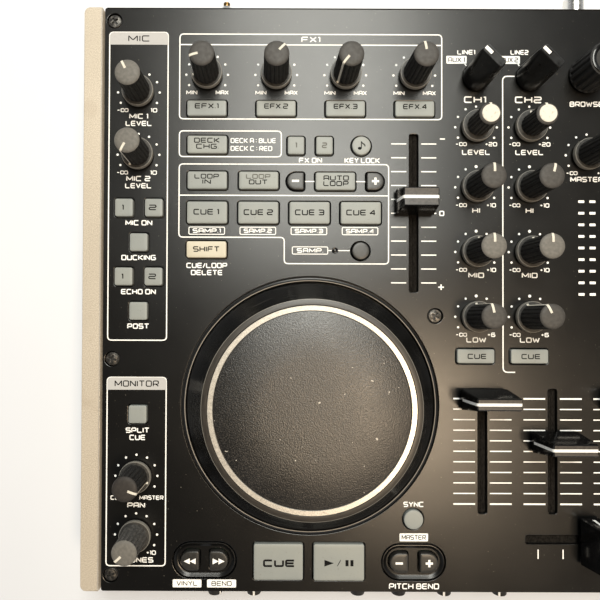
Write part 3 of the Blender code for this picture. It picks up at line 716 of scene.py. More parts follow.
def piece(name, mesh, material, body, place=(0, 0, 0), turn=0.0):
    """Stand a mesh in the scene at a place in millimetres, and let it ride on a body."""
    if not mesh.materials:
        mesh.materials.append(MATERIALS[material])
    obj = bpy.data.objects.new(name, mesh)
    bpy.context.scene.collection.objects.link(obj)
    obj.location = Vector(place) * MM
    obj.rotation_euler = (0, 0, turn)
    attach(obj, body)
    return obj


# ---- Lettering ---------------------------------------------------------------------------------

# Strokes of each letter on a grid 4 wide and 6 high; the first number is the letter's width
GLYPHS = {
    "A": (4, [(0, 0), (0, 6), (4, 6), (4, 0)], [(0, 2.4), (4, 2.4)]),
    "B": (4, [(0, 0), (0, 6), (3.7, 6), (3.7, 3.2), (0, 3.2)], [(3, 3.2), (4, 3.2), (4, 0), (0, 0)]),
    "C": (4, [(4, 6), (0, 6), (0, 0), (4, 0)]),
    "D": (4, [(0, 0), (0, 6)], [(0, 6), (4, 6), (4, 0), (0, 0)]),
    "E": (4, [(4, 6), (0, 6), (0, 0), (4, 0)], [(0, 3), (3.8, 3)]),
    "F": (4, [(4, 6), (0, 6), (0, 0)], [(0, 3), (3.6, 3)]),
    "G": (4, [(4, 6), (0, 6), (0, 0), (4, 0), (4, 3), (2, 3)]),
    "H": (4, [(0, 0), (0, 6)], [(4, 0), (4, 6)], [(0, 3), (4, 3)]),
    "I": (0, [(0, 0), (0, 6)]),
    "K": (4, [(0, 0), (0, 6)], [(4, 6), (0.8, 3), (4, 0)]),
    "L": (4, [(0, 6), (0, 0), (4, 0)]),
    "M": (5, [(0, 0), (0, 6), (2.5, 1.2), (5, 6), (5, 0)]),
    "N": (4, [(0, 0), (0, 6), (4, 0), (4, 6)]),
    "O": (4, [(0, 3), (0, 6), (4, 6), (4, 0), (0, 0), (0, 3.1)]),
    "P": (4, [(0, 0), (0, 6), (4, 6), (4, 2.4), (0, 2.4)]),
    "R": (4, [(0, 0), (0, 6), (4, 6), (4, 2.4), (0, 2.4)], [(2, 2.4), (4, 0)]),
    "S": (4, [(4, 6), (0, 6), (0, 3), (4, 3), (4, 0), (0, 0)]),
    "T": (4, [(0, 6), (4, 6)], [(2, 6), (2, 0)]),
    "U": (4, [(0, 6), (0, 0), (4, 0), (4, 6)]),
    "V": (4, [(0, 6), (2, 0), (4, 6)]),
    "W": (5.5, [(0, 6), (1.4, 0), (2.75, 4.6), (4.1, 0), (5.5, 6)]),
    "X": (4, [(0, 0), (4, 6)], [(0, 6), (4, 0)]),
    "Y": (4, [(0, 6), (2, 3), (4, 6)], [(2, 3), (2, 0)]),
    "0": (4, [(0, 3), (0, 6), (4, 6), (4, 0), (0, 0), (0, 3.1)]),
    "1": (1, [(0, 5.6), (1, 6), (1, 0)]),
    "2": (4, [(0, 6), (4, 6), (4, 3), (0, 3), (0, 0), (4, 0)]),
    "3": (4, [(0, 6), (4, 6), (4, 0), (0, 0)], [(0.6, 3), (4, 3)]),
    "4": (4, [(3.2, 0), (3.2, 6), (0, 1.8), (4, 1.8)]),
    "6": (4, [(4, 6), (0, 6), (0, 0), (4, 0), (4, 3.2), (0, 3.2)]),
    ".": (0, [(0, 0), (0, 0.6)]),
    ":": (0, [(0, 0.9), (0, 1.7)], [(0, 4.3), (0, 5.1)]),
    "/": (2, [(0, 0), (2, 6)]),
    "-": (2, [(0, 3), (2, 3)]),
    "+": (2.6, [(0, 3), (2.6, 3)], [(1.3, 1.4), (1.3, 4.6)]),
    "~": (7, [(3.5, 3), (2.8, 0.3), (0, 0.3), (0, 5.7), (2.8, 5.7), (3.5, 3), (4.2, 0.3), (7, 0.3),
              (7, 5.7), (4.2, 5.7), (3.5, 3)]),
    " ": (0.5,),
}


def text_units(text):
    return sum(GLYPHS[letter][0] for letter in text) + GLYPH_GAP * (len(text) - 1)


def add_text(bm, text, x, y, z, height=TEXT_HEIGHT, width=None, weight=TEXT_WEIGHT):
    """Letter a word in stripes, centred on x and y. Without a width it takes the usual spacing.

    A stroke lies a hair higher than the one before, so that crossing strokes never share a surface.
    """
    unit_y = (height - weight) / GLYPH_ROWS
    unit_x = (width - weight) / text_units(text) if width else USUAL_STRETCH * unit_y
    pen = x - text_units(text) * unit_x / 2
    low = y - GLYPH_ROWS / 2 * unit_y
    for letter in text:
        advance, *strokes = GLYPHS[letter]
        for i, stroke in enumerate(strokes):
            points = [(pen + px * unit_x, low + py * unit_y) for px, py in stroke]
            add_stripe(bm, filleted(points, GLYPH_CORNER * unit_y), weight, z + LAYER * i)
        pen += (advance + GLYPH_GAP) * unit_x


# ---- Push keys ---------------------------------------------------------------------------------

# Shape and width of each key on the moulded mats; a single key's width comes from its node
MAT_KEYS = {
    "effect_keys": [("rect", 16.9)] * 4,
    "fx_on_keys": [("rect", 7.2)] * 2,
    "loop_keys": [("rect", 17.0)] * 2,
    "auto_loop_keys": [("left", 7.4), ("rect", 17.1), ("right", 7.4)],
    "hot_cue_keys": [("rect", 17.3)] * 4,
    "mic_on_keys": [("rect", 7.7)] * 2,
    "echo_on_keys": [("rect", 7.7)] * 2,
}
SINGLE_KEYS = {
    "deck_change_key": "rect", "key_lock_key": "round", "shift_key": "rect", "sampler_key": "round",
    "sync_key": "round", "search_back_key": "left", "search_forward_key": "right", "cue_key": "rect",
    "play_key": "rect", "bend_minus_key": "left", "bend_plus_key": "right", "ducking_key": "rect",
    "post_key": "rect", "split_cue_key": "rect", "channel_1_cue_key": "rect",
}
STRIP_NODES = ("mic_on_keys", "ducking_key", "echo_on_keys", "post_key", "split_cue_key")
CHANNEL_NODES = ("channel_1_cue_key",)
DECK_NODES = tuple(n for n in (*MAT_KEYS, *SINGLE_KEYS) if n not in STRIP_NODES + CHANNEL_NODES)
DISHED_NODES = ("search_back_key", "search_forward_key", "bend_minus_key", "bend_plus_key")
LIT_NODES = ("shift_key",)
DARK_NODES = DISHED_NODES + ("sampler_key",)
PLAIN, FAINT, WHITE = "print_dark", "print_faint", "print"

# Words on each key: (text, offset x, offset y, width, height, ink)
KEY_WORDS = {
    "effect_keys": [[("EFX." + n, 0, 0.8, 10.3, 2.3, PLAIN)] for n in "1234"],
    "deck_change_key": [[("DECK", -0.1, 1.7, 11.0, 2.2, PLAIN), ("CHG.", 0.2, -0.9, 9.8, 2.2, PLAIN)]],
    "fx_on_keys": [[(n, 0, 0, None, 2.4, FAINT)] for n in "12"],
    "loop_keys": [[("LOOP", -0.2, 1.6, 10.5, 2.1, PLAIN), ("IN", -0.2, -0.7, 3.7, 2.1, PLAIN)],
                  [("LOOP", -0.2, 1.6, 10.5, 2.1, FAINT), ("OUT", -0.2, -0.8, 8.0, 2.1, PLAIN)]],
    "auto_loop_keys": [[], [("AUTO", 0.3, 1.3, 10.9, 2.2, PLAIN),
                            ("LOOP", 0.2, -1.1, 10.8, 2.2, PLAIN)], []],
    "hot_cue_keys": [[("CUE 1", -0.3, 0.2, 11.0, 2.5, PLAIN)]]
                    + [[("CUE " + n, 0, 0.1, 12.6, 2.5, PLAIN)] for n in "234"],
    "shift_key": [[("SHIFT", 0, 0.1, 11.4, 2.4, PLAIN)]],
    "cue_key": [[("CUE", 0.3, -0.4, 13.6, 3.2, PLAIN)]],
    "mic_on_keys": [[(n, -0.4, 0, w, 2.4, PLAIN)] for n, w in (("1", None), ("2", 3.3))],
    "echo_on_keys": [[(n, -0.4, 0, w, 2.4, PLAIN)] for n, w in (("1", None), ("2", 3.3))],
    "channel_1_cue_key": [[("CUE", 0.4, 0, 8.1, 2.2, PLAIN)]],
}


# Stroke width of key words at the usual text height
KEY_TEXT_WEIGHT = 0.44
CUE_TEXT_WEIGHT = 0.60


def key_places(node):
    """Shape, middle, width and depth of each key cap in a node, worked out from the node's box."""
    low, high = corners(node)
    depth = high.y - low.y - 2 * KEY_FLANGE
    span = high.x - low.x - 2 * KEY_FLANGE
    y = (low.y + high.y) / 2
    if node in SINGLE_KEYS:
        return [(SINGLE_KEYS[node], (low.x + high.x) / 2, y, span, depth)]
    keys = MAT_KEYS[node]
    gap = (span - sum(width for _, width in keys)) / (len(keys) - 1)
    places = []
    x = low.x + KEY_FLANGE
    for kind, width in keys:
        places.append((kind, x + width / 2, y, width, depth))
        x += width + gap
    return places


def add_key(bm, kind, x, y, width, depth, top):
    """A key cap with a pillowed edge and a very slightly crowned top."""
    # Distance out from the cap's outline and height above its edge
    steps = ((-1.5, KEY_CROWN), (-0.5, 0.0), (-0.3, -0.05), (-0.12, -0.16), (-0.03, -0.35), (0.0, -0.8))
    rings = [at_height(key_outline(kind, width, depth, margin, x, y), top + drop)
             for margin, drop in steps]
    rings.append(at_height(key_outline(kind, width, depth, 0.0, x, y), TOP - PANEL_THICKNESS - 0.3))
    add_loft(bm, rings)


def add_triangle(bm, x, y, z, width, height, way):
    add_patch(bm, [(x - way * width / 2, y - way * height / 2), (x + way * width / 2, y),
                   (x - way * width / 2, y + way * height / 2)], z)


def add_sign(bm, x, y, z, plus):
    add_stripe(bm, [(x - 1.55, y), (x + 1.55, y)], 0.95, z)
    if plus:
        add_stripe(bm, [(x, y - 1.55), (x, y + 1.55)], 0.95, z + LAYER)


def add_note(bm, x, y, z):
    """A quaver: head, stem and flag."""
    head = [(x - 0.75 + 0.85 * px, y - 1.25 + 0.62 * py) for px, py in disc(1.0, steps=20)]
    add_patch(bm, head, z)
    add_stripe(bm, [(x - 0.08, y - 1.25), (x - 0.08, y + 1.75)], 0.36, z + LAYER)
    flag = [(x - 0.08, y + 1.65), (x + 0.5, y + 0.75), (x + 1.35, y + 0.45), (x + 1.5, y - 0.45)]
    add_stripe(bm, filleted(flag, 0.7), 0.42, z + 2 * LAYER)


def add_symbols(node, inks, x, y, z, index):
    """The pictures on keys: arrows, signs, the note and play/pause."""
    if node in ("search_back_key", "search_forward_key"):
        way = -1 if node == "search_back_key" else 1
        for step in (-1.25, 1.25):
            add_triangle(inks[WHITE], x + step, y, z, 2.6, 2.5, way)
    elif node in ("bend_minus_key", "bend_plus_key"):
        add_sign(inks[WHITE], x, y, z, node == "bend_plus_key")
    elif node == "auto_loop_keys" and index != 1:
        add_sign(inks[WHITE], x, y, z, index == 2)
    elif node == "key_lock_key":
        add_note(inks[PLAIN], x, y, z)
    elif node == "play_key":
        add_triangle(inks[PLAIN], x - 4.2, y - 0.2, z, 4.0, 2.8, 1)
        add_stripe(inks[PLAIN], [(x - 0.7, y - 1.4), (x + 0.7, y + 1.1)], 0.28, z)
        for bar in (3.4, 5.5):
            add_stripe(inks[PLAIN], [(x + bar, y - 1.45), (x + bar, y + 1.15)], 1.3, z)


def key_group(node, shift, body, prefix=""):
    """All caps and words of one key node, moved right by shift."""
    caps = {look: bmesh.new() for look in ("key", "lit_key", "dark_key")}
    inks = {ink: bmesh.new() for ink in (PLAIN, FAINT, WHITE)}
    top = corners(node)[1].z
    ink_z = top + KEY_CROWN + PRINT_LIFT
    for index, (kind, x, y, width, depth) in enumerate(key_places(node)):
        x += shift
        dark = node in DARK_NODES or (node == "auto_loop_keys" and index != 1)
        look = "dark_key" if dark else "lit_key" if node in LIT_NODES else "key"
        add_key(caps[look], kind, x, y, width, depth, top)
        words = KEY_WORDS.get(node)
        for text, move_x, move_y, wide, high, ink in words[index] if words else []:
            weight = CUE_TEXT_WEIGHT if node == "cue_key" else KEY_TEXT_WEIGHT
            weight = weight * high / TEXT_HEIGHT
            add_text(inks[ink], text, x + move_x, y + move_y, ink_z, high, wide, weight)
        add_symbols(node, inks, x, y, ink_z, index)
    made = []
    for look, bm in (*caps.items(), *inks.items()):
        if len(bm.faces):
            made.append(piece(prefix + node + "_" + look, mesh_from(bm, node, look in caps), look, body))
        else:
            bm.free()
    return made


def build_keys():
    for node in (*MAT_KEYS, *SINGLE_KEYS):
        for obj in key_group(node, 0.0, node):
            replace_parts(obj, node)
    for node in DECK_NODES:
        key_group(node, DECK_SHIFT, "chassis", "deck_b_")
    for number, x in enumerate(CHANNEL_XS[1:], start=2):
        key_group("channel_1_cue_key", x - CHANNEL_X, "chassis", "channel_" + str(number) + "_")
    for node in STRIP_NODES:
        key_group(node, -2 * middle(node)[0], "chassis", "right_strip_")


# ---- Rotary knobs ------------------------------------------------------------------------------

KNOB_SEGMENTS = 90
GROOVE_EVERY = 5
GROOVE_DEPTH = 0.5
KNOB_TOP_RADIUS = 5.1
LEVEL_KNOB_TOP_RADIUS = 4.5
SKIRT_RADIUS = 6.7


def fluted_ring(radius, z, groove):
    """A circle cut inward by groove at every flute."""
    points = []
    for i, (x, y) in enumerate(disc(1.0, steps=KNOB_SEGMENTS)):
        reach = radius - (groove if i % GROOVE_EVERY < 2 else 0.0)
        points.append((x * reach, y * reach, z))
    return points


def knob_grip(height, radius):
    """Fluted grip, with the shaft under it."""
    stations = [(radius - 0.6, height - 0.75, 0.0), (radius - 0.1, height - 0.85, 0.1)]
    stations += [(radius, height - 1.3, GROOVE_DEPTH), (radius + 0.25, 3.4, GROOVE_DEPTH)]
    stations += [(radius + 0.3, 2.4, 0.0), (3.0, 2.3, 0.0), (3.0, -4.0, 0.0)]
    bm = bmesh.new()
    add_loft(bm, [fluted_ring(*station) for station in stations])
    return mesh_from(bm, "knob_grip")


def knob_skirt(_, radius):
    """Flat-faced skirt with a crisp outer edge. It is the same at every knob height."""
    edge = SKIRT_RADIUS
    profile = [(radius, 2.65), (edge - 0.35, 2.85), (edge - 0.12, 2.82), (edge, 2.6), (edge, 1.1)]
    profile += [(edge - 0.25, 0.8), (2.9, 0.8), (2.9, 2.4)]
    return ring_mesh("knob_skirt", profile, 64)


def knob_top(height, radius):
    """Gently crowned top with a rolled edge."""
    # Distance in from the edge and down from the top
    steps = ((2.6, 0.04), (1.5, 0.12), (0.8, 0.26), (0.3, 0.48), (0.05, 0.8), (0.5, 0.9))
    profile = [(0.5, height)] + [(radius - inset, height - drop) for inset, drop in steps]
    return turned_mesh("knob_top", profile, 64)


def knob_pointer(height, radius):
    """White line from near the middle, over the edge and down the grip."""
    path = [(1.5, height + 0.02), (radius - 2.6, height), (radius - 1.5, height - 0.07)]
    path += [(radius - 0.8, height - 0.2), (radius - 0.2, height - 0.4), (radius + 0.1, height - 0.8)]
    path += [(radius + 0.3, 3.6), (radius + 0.4, 2.9), (SKIRT_RADIUS - 0.6, 2.88)]
    return strip_mesh("knob_pointer", path, 0.95)


def knob_cap(height, radius):
    """White disc set in the top of a level knob."""
    edge = radius - 0.9
    profile = [(edge - 0.4, height + 0.02), (edge - 0.05, height - 0.05), (edge, height - 0.35)]
    return turned_mesh("knob_cap", profile, 48)


@functools.cache
def knob_mesh(shape, low, look):
    """One mesh for each shape, height and look, shared by all knobs that need it."""
    if low:
        mesh = shape(LEVEL_KNOB_HEIGHT, LEVEL_KNOB_TOP_RADIUS)
    else:
        mesh = shape(KNOB_HEIGHT, KNOB_TOP_RADIUS)
    mesh.materials.append(MATERIALS[look])
    return mesh


def knob(name, x, y, clockwise, body, top="knob_top", low=False, grip="knob"):
    """A rotary knob whose pointer is turned clockwise from the rear by some degrees."""
    shapes = [("_grip", knob_grip, grip), ("_skirt", knob_skirt, "knob_skirt"), ("_top", knob_top, top),
              ("_pointer", knob_pointer, "print_cream")]
    if low:
        shapes.append(("_cap", knob_cap, "print_cream"))
    made = []
    for suffix, shape, look in shapes:
        mesh = knob_mesh(shape, low, look)
        made.append(piece(name + suffix, mesh, look, body, (x, y, TOP), -math.radians(clockwise)))
    return made


# Looks of the knobs that differ from the rest: lighter tops as a painted sheen, a darker brown top as
# painted shade, a dusty grip and a worn one
KNOB_TOPS = {"mic_1_knob": "knob_top_worn", "mic_2_knob": "knob_top_worn", "pan_knob": "knob_top_brown",
             "phones_knob": "knob_top_worn", "channel_1_mid_knob": "knob_top_worn"}
KNOB_GRIPS = {"phones_knob": "knob_dusty", "channel_1_level_knob": "knob_worn"}
# Rest angles of the knobs that stand on the right-hand board, clockwise from the rear
RIGHT_STRIP_ANGLES = (-20, 35, 0, -60)
DECK_B_ANGLES = (-150, -35, 62, -150)
CHANNEL_ANGLES = ((-8, 14, 0, -25), (0, 0, -18, 6), (20, -10, 0, 0))


def build_knobs():
    for node in STRIP_KNOBS + FX_KNOBS + CHANNEL_KNOBS:
        x, y = middle(node)
        turn = joint_middle(node.replace("_knob", "") + "_turn")
        top = KNOB_TOPS.get(node, "knob_top")
        grip = KNOB_GRIPS.get(node, "knob")
        for obj in knob(node, x, y, turn, node, top, "level" in node, grip):
            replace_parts(obj, node)
    standing = []
    for number, (node, angle) in enumerate(zip(STRIP_KNOBS, RIGHT_STRIP_ANGLES), start=1):
        x, y = middle(node)
        standing += knob("right_strip_knob_" + str(number), -x, y, angle, "chassis")
    for node, angle in zip(FX_KNOBS, DECK_B_ANGLES):
        x, y = middle(node)
        standing += knob("deck_b_" + node, x + DECK_SHIFT, y, angle, "chassis")
    for number, (x, angles) in enumerate(zip(CHANNEL_XS[1:], CHANNEL_ANGLES), start=2):
        for row, node, angle in zip(CHANNEL_ROWS, CHANNEL_KNOBS, angles):
            name = "channel_" + str(number) + "_" + row + "_knob"
            # The mid row's tops take the lighter copy, a painted sheen
            top = "knob_top_worn" if row == "mid" else "knob_top"
            standing += knob(name, x, middle(node)[1], angle, "chassis", top, row == "level")
    standing += knob("master_knob", 0.0, MASTER_Y, 10, "chassis")
    for obj in standing + browse_knob():
        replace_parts(obj, "right_knob_board")


def browse_knob():
    """The wide encoder at the rear of the middle column."""
    height = 14.0
    grip = bmesh.new()
    profile = [(6.7, height - 0.3), (7.3, height - 0.7), (7.5, height - 1.4), (7.8, 1.6), (7.9, 1.2)]
    profile += [(7.8, 0.8), (3.0, 0.8), (3.0, -4.0)]
    rings = []
    for radius, z in profile:
        groove = 0.4 if 1.6 <= z <= height - 1.4 else 0.0
        rings.append(fluted_ring(radius, z, groove))
    add_loft(grip, rings)
    dish = [(0.5, height - 0.7), (5.0, height - 0.35), (6.4, height), (6.8, height - 0.15)]
    top = turned_mesh("browse_top", dish + [(6.9, height - 0.5)], 56)
    place = (0.0, BROWSE_Y, TOP)
    return [piece("browse_knob_grip", mesh_from(grip, "browse_grip"), "knob", "chassis", place),
            piece("browse_knob_top", top, "gloss", "chassis", place)]


# ---- Input selectors ---------------------------------------------------------------------------

def selector_mesh():
    """A round gloss base drawn up into a narrow bar along +Y, with a flat fin at its pointing end."""
    top = KNOB_HEIGHT
    # Height, width, length and corner radius, from the top of the bar down to the shaft
    levels = ((top, 3.1, 10.0, 0.8), (top - 0.2, 3.6, 10.5, 1.0), (top - 0.9, 4.0, 10.8, 1.2),
              (top - 3.0, 5.0, 11.2, 2.0), (top - 6.0, 7.6, 11.6, 3.4), (6.0, 10.2, 11.9, 4.9),
              (3.0, 11.6, 12.0, 5.7), (1.0, 11.9, 12.0, 5.94), (0.8, 11.4, 11.4, 5.6),
              (0.8, 6.0, 6.0, 2.9), (-4.0, 6.0, 6.0, 2.9))
    bm = bmesh.new()
    add_loft(bm, [at_height(rounded(wide, long, (radius,) * 4, steps=10), z)
                  for z, wide, long, radius in levels])
    # Height, width and reach of the fin's levels
    fin = ((top - 0.15, 2.6, 5.1), (top - 0.6, 3.1, 5.35), (top - 1.2, 3.3, 5.45), (1.2, 3.7, 6.2))
    long = 2.5
    add_loft(bm, [at_height(box_outline(wide, long, 0.0, reach - long / 2, 0.3), z)
                  for z, wide, reach in fin])
    return mesh_from(bm, "selector")


def selector_mark_mesh():
    top = KNOB_HEIGHT + PRINT_LIFT
    return strip_mesh("selector_mark", [(1.3, top), (4.8, top), (5.15, top - 0.15)], 1.4)


def build_selectors():
    node = "channel_1_selector"
    x, y = middle(node)
    body_mesh = selector_mesh()
    mark_mesh = selector_mark_mesh()
    turns = (joint_middle("channel_1_selector_turn"), -45.0, 0.0, 0.0)
    for number, (place_x, turn) in enumerate(zip(CHANNEL_XS, turns), start=1):
        body = node if number == 1 else "chassis"
        name = "channel_" + str(number) + "_selector_"
        place = (place_x + x - CHANNEL_X, y, TOP)
        made = [piece(name + "knob", body_mesh, "selector", body, place, -math.radians(turn)),
                piece(name + "mark", mark_mesh, "print", body, place, -math.radians(turn))]
        for obj in made:
            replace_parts(obj, node if number == 1 else "right_knob_board")


# ---- Faders ------------------------------------------------------------------------------------

# A fader cap: (width, depth) of its top and base, its height, the depth of the hollow across its top,
# and half the width of the white line in the hollow. It is drawn as sliding along Y.
FaderShape = collections.namedtuple("FaderShape", "top base height valley line")
CAP_CLEARANCE = 2.0
CAP_EDGE = 0.45
PAD_LIFT = 0.02
MARK_LIFT = 0.05


def cap_half_width(shape, z):
    rise = (z - CAP_CLEARANCE) / (shape.height - CAP_CLEARANCE)
    return (shape.base[0] + (shape.top[0] - shape.base[0]) * rise) / 2


def fader_cap(shape):
    """Cap with sloping sides and a shallow hollow across its top."""
    half_depth = shape.top[1] / 2
    rear = [(shape.line, shape.height - shape.valley), (half_depth - CAP_EDGE, shape.height)]
    rear += [(half_depth - 0.05, shape.height - 0.25), (half_depth + 0.15, shape.height - 0.9)]
    rear.append((shape.base[1] / 2, CAP_CLEARANCE))
    section = [(-y, z) for y, z in reversed(rear)] + rear
    stations = []
    for side, inset in ((-1, 0.0), (-1, CAP_EDGE), (1, CAP_EDGE), (1, 0.0)):
        shrink = 1.0 if inset else (shape.top[1] - 2 * CAP_EDGE) / shape.top[1]
        drop = 0.0 if inset else CAP_EDGE
        ring = []
        for y, z in section:
            level = z if z == CAP_CLEARANCE else z - drop
            ring.append((side * (cap_half_width(shape, z) - inset), y * shrink, level))
        stations.append(ring)
    bm = bmesh.new()
    add_loft(bm, stations)
    return mesh_from(bm, "fader_cap")


def fader_lever(_):
    """Metal lever under a cap, the same for every fader."""
    bm = bmesh.new()
    add_prism(bm, box_outline(1.8, 5.0), -3.5, CAP_CLEARANCE + 0.5)
    return mesh_from(bm, "fader_lever")


def fader_pad(shape):
    """Satin finger rest that lies in the hollow."""
    rests = [(shape.top[1] / 2 - CAP_EDGE, shape.height + PAD_LIFT)]
    rests.append((shape.line, shape.height - shape.valley + PAD_LIFT))
    path = [(-y, z) for y, z in rests] + [(y, z) for y, z in reversed(rests)]
    return strip_mesh("fader_pad", path, 2 * (cap_half_width(shape, shape.height) - CAP_EDGE))


def fader_mark(shape):
    """White line across the hollow and down both ends of the cap."""
    height = shape.height
    floor = height - shape.valley
    edge = cap_half_width(shape, height)
    side = [(cap_half_width(shape, z) + MARK_LIFT, z) for z in (CAP_CLEARANCE + 1.5, height - 1.0)]
    side.append((edge - 0.02 + MARK_LIFT, floor - CAP_EDGE + 0.02))
    side.append((edge - CAP_EDGE, floor + MARK_LIFT))
    path = side + [(-x, z) for x, z in reversed(side)]
    return strip_mesh("fader_mark", path, 2 * shape.line - 0.1, math.radians(-90))


def build_faders():
    pitch = FaderShape((14.6, 7.7), (16.6, 11.0), height_of("pitch_fader_left"), 0.35, 0.68)
    channel = FaderShape((18.0, 4.9), (20.0, 8.7), height_of("channel_fader_1"), 0.2, 0.62)
    short_faders = ["crossfader"] + ["channel_fader_" + str(number) for number in range(1, 5)]
    groups = ((pitch, ["pitch_fader_left", "pitch_fader_right"]), (channel, short_faders))
    parts = (("_cap", fader_cap, "gloss"), ("_lever", fader_lever, "screw"), ("_pad", fader_pad, "cap"),
             ("_mark", fader_mark, "print"))
    for shape, nodes in groups:
        meshes = [(suffix, make(shape), look) for suffix, make, look in parts]
        for node in nodes:
            turn = math.radians(90) if node == "crossfader" else 0.0
            place = (*middle(node), TOP)
            for suffix, mesh, look in meshes:
                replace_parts(piece(node + suffix, mesh, look, node, place, turn), node)


def fader_slots():
    """Slot of each fader, as (middle x, middle y, width, depth), from its place and travel."""
    slots = {}
    for joint in frame["record"]["behaviour"]["joints"]:
        node = joint["child"]
        if "fader" not in node:
            continue
        low, high = (end / MM for end in joint["range_m"])
        x, y = middle(node)
        length = high - low + 2 * SLOT_OVERRUN
        if node == "crossfader":
            slots[node] = (x + (low + high) / 2, y, length, SLOT_WIDTH)
        else:
            slots[node] = (x, y + (low + high) / 2, SLOT_WIDTH, length)
    return slots


def build_slot_felts():
    """Dust felt in two lips, just under each slot."""
    for node, (x, y, width, depth) in fader_slots().items():
        bm = bmesh.new()
        along_y = depth > width
        for side in (-1, 1):
            shift = side * (SLOT_WIDTH / 4 + 0.55)
            lip_width = SLOT_WIDTH / 2 + 1.0
            lip = (lip_width, depth + 3) if along_y else (width + 3, lip_width)
            place = (x + shift, y) if along_y else (x, y + shift)
            add_prism(bm, box_outline(*lip, *place), -2.6, -1.55)
        piece(node + "_slot_felt", mesh_from(bm, "slot_felt"), "felt", "chassis", (0, 0, TOP))


# ---- Jog wheels --------------------------------------------------------------------------------

JOG_SEGMENTS = 160


def jog_meshes(height):
    """Wall, rim, bright ring and top of a jog wheel."""
    wall = [(45.1, height - 0.75), (45.3, height - 1.1), (45.7, height - 1.7), (47.2, height - 3.9)]
    wall += [(49.6, height - 7.0), (51.6, 2.7), (52.1, 2.2), (52.2, 1.7), (52.2, 0.9), (40.0, 0.8)]
    wall += [(6.0, 0.8), (6.0, -6.0)]
    rim = [(42.75, height - 0.3), (42.85, height - 0.22), (44.8, height - 0.28), (45.1, height - 0.4)]
    rim += [(45.2, height - 0.7), (45.2, height - 1.0), (42.75, height - 1.0)]
    ring = [(40.35, height - 0.1), (40.45, height), (42.35, height), (42.45, height - 0.1)]
    ring += [(42.45, height - 0.8), (40.35, height - 0.8)]
    top = [(2.0, height - 0.30), (20.0, height - 0.30), (39.9, height - 0.30)]
    top += [(40.2, height - 0.42), (40.2, height - 0.8)]
    return (("wall", turned_mesh("wall", wall, JOG_SEGMENTS), "jog"),
            ("rim", ring_mesh("rim", rim, JOG_SEGMENTS), "jog_rim"),
            ("bright_ring", ring_mesh("bright_ring", ring, JOG_SEGMENTS), "bright_ring"),
            ("top", turned_mesh("top", top, JOG_SEGMENTS), "jog_top"))


def bezel_mesh():
    """Narrow ridge next to the wheel, with a lower flat band outside it."""
    profile = [(52.95, 1.1), (53.2, 1.45), (53.5, 1.5), (53.75, 1.2), (54.2, 1.0), (54.55, 0.9)]
    profile += [(54.7, 0.6), (54.7, JOG_FLOOR), (52.8, JOG_FLOOR), (52.8, 0.8)]
    return ring_mesh("jog_bezel", profile, JOG_SEGMENTS)


def jog_floor_mesh():
    """Sunk floor under a wheel, whose outer edge shows as a dark groove round the bezel."""
    outlines = [disc(JOG_OPENING + 1.5, steps=JOG_SEGMENTS), disc(HUB_HOLE, steps=40)]
    return plate_mesh("jog_floor", outlines, JOG_FLOOR - 0.5, JOG_FLOOR, 0.1)


def build_jogs():
    bezel = bezel_mesh()
    floor = jog_floor_mesh()
    for side in ("left", "right"):
        node = "jog_wheel_" + side
        x, y = middle(node)
        for name, mesh, look in jog_meshes(height_of(node)):
            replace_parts(piece(node + "_" + name, mesh, look, node, (x, y, TOP)), node)
        obj = piece("jog_bezel_" + side + "_ring", bezel, "bezel", "chassis", (x, y, TOP))
        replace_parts(obj, "jog_bezel_" + side)
        piece("jog_floor_" + side, floor, "casing", "chassis", (x, y, TOP))


# ---- Top panel ---------------------------------------------------------------------------------

# Screws of the right half, and the oval dishes' width and depth
SCREWS = ((204.0, 119.7), (204.0, -26.4), (204.0, -118.6), (65.3, -7.5))
DISH_OPENING = (27.6, 15.9)


def dish_places():
    """Middle of each oval dish, the pair of keys that stands in it, and their shift to the right."""
    places = []
    for nodes in (DISHED_NODES[:2], DISHED_NODES[2:]):
        x = (middle(nodes[0])[0] + middle(nodes[1])[0]) / 2
        y = middle(nodes[0])[1]
        places += [(x + shift, y, nodes, shift) for shift in (0.0, DECK_SHIFT)]
    return places


def dish_outline(x, y, inset):
    width = DISH_OPENING[0] - 2 * inset
    depth = DISH_OPENING[1] - 2 * inset
    return rounded(width, depth, (depth / 2 - 0.02,) * 4, x, y, steps=12)


def shaft_places():
    places = [middle(node) for node in STRIP_KNOBS + FX_KNOBS + CHANNEL_KNOBS]
    places += [(-x, y) for x, y in map(middle, STRIP_KNOBS)]
    places += [(x + DECK_SHIFT, y) for x, y in map(middle, FX_KNOBS)]
    for node in CHANNEL_KNOBS:
        places += [(x, middle(node)[1]) for x in CHANNEL_XS[1:]]
    places += [(x, middle("channel_1_selector")[1]) for x in CHANNEL_XS]
    return places + [(0.0, MASTER_Y), (0.0, BROWSE_Y)]


def key_holes():
    """Outline of every key hole in the panel, on both halves."""
    moves = {}
    for node in (*MAT_KEYS, *SINGLE_KEYS):
        if node in STRIP_NODES:
            moves[node] = (0.0, -2 * middle(node)[0])
        elif node in CHANNEL_NODES:
            moves[node] = tuple(x - CHANNEL_X for x in CHANNEL_XS)
        elif node not in DISHED_NODES:
            moves[node] = (0.0, DECK_SHIFT)
    holes = []
    for node, shifts in moves.items():
        for kind, x, y, width, depth in key_places(node):
            for shift in shifts:
                holes.append(key_outline(kind, width, depth, KEY_CLEARANCE, x + shift, y))
    return holes


def screw_places():
    return [(side * x, y) for side in (-1, 1) for x, y in SCREWS]


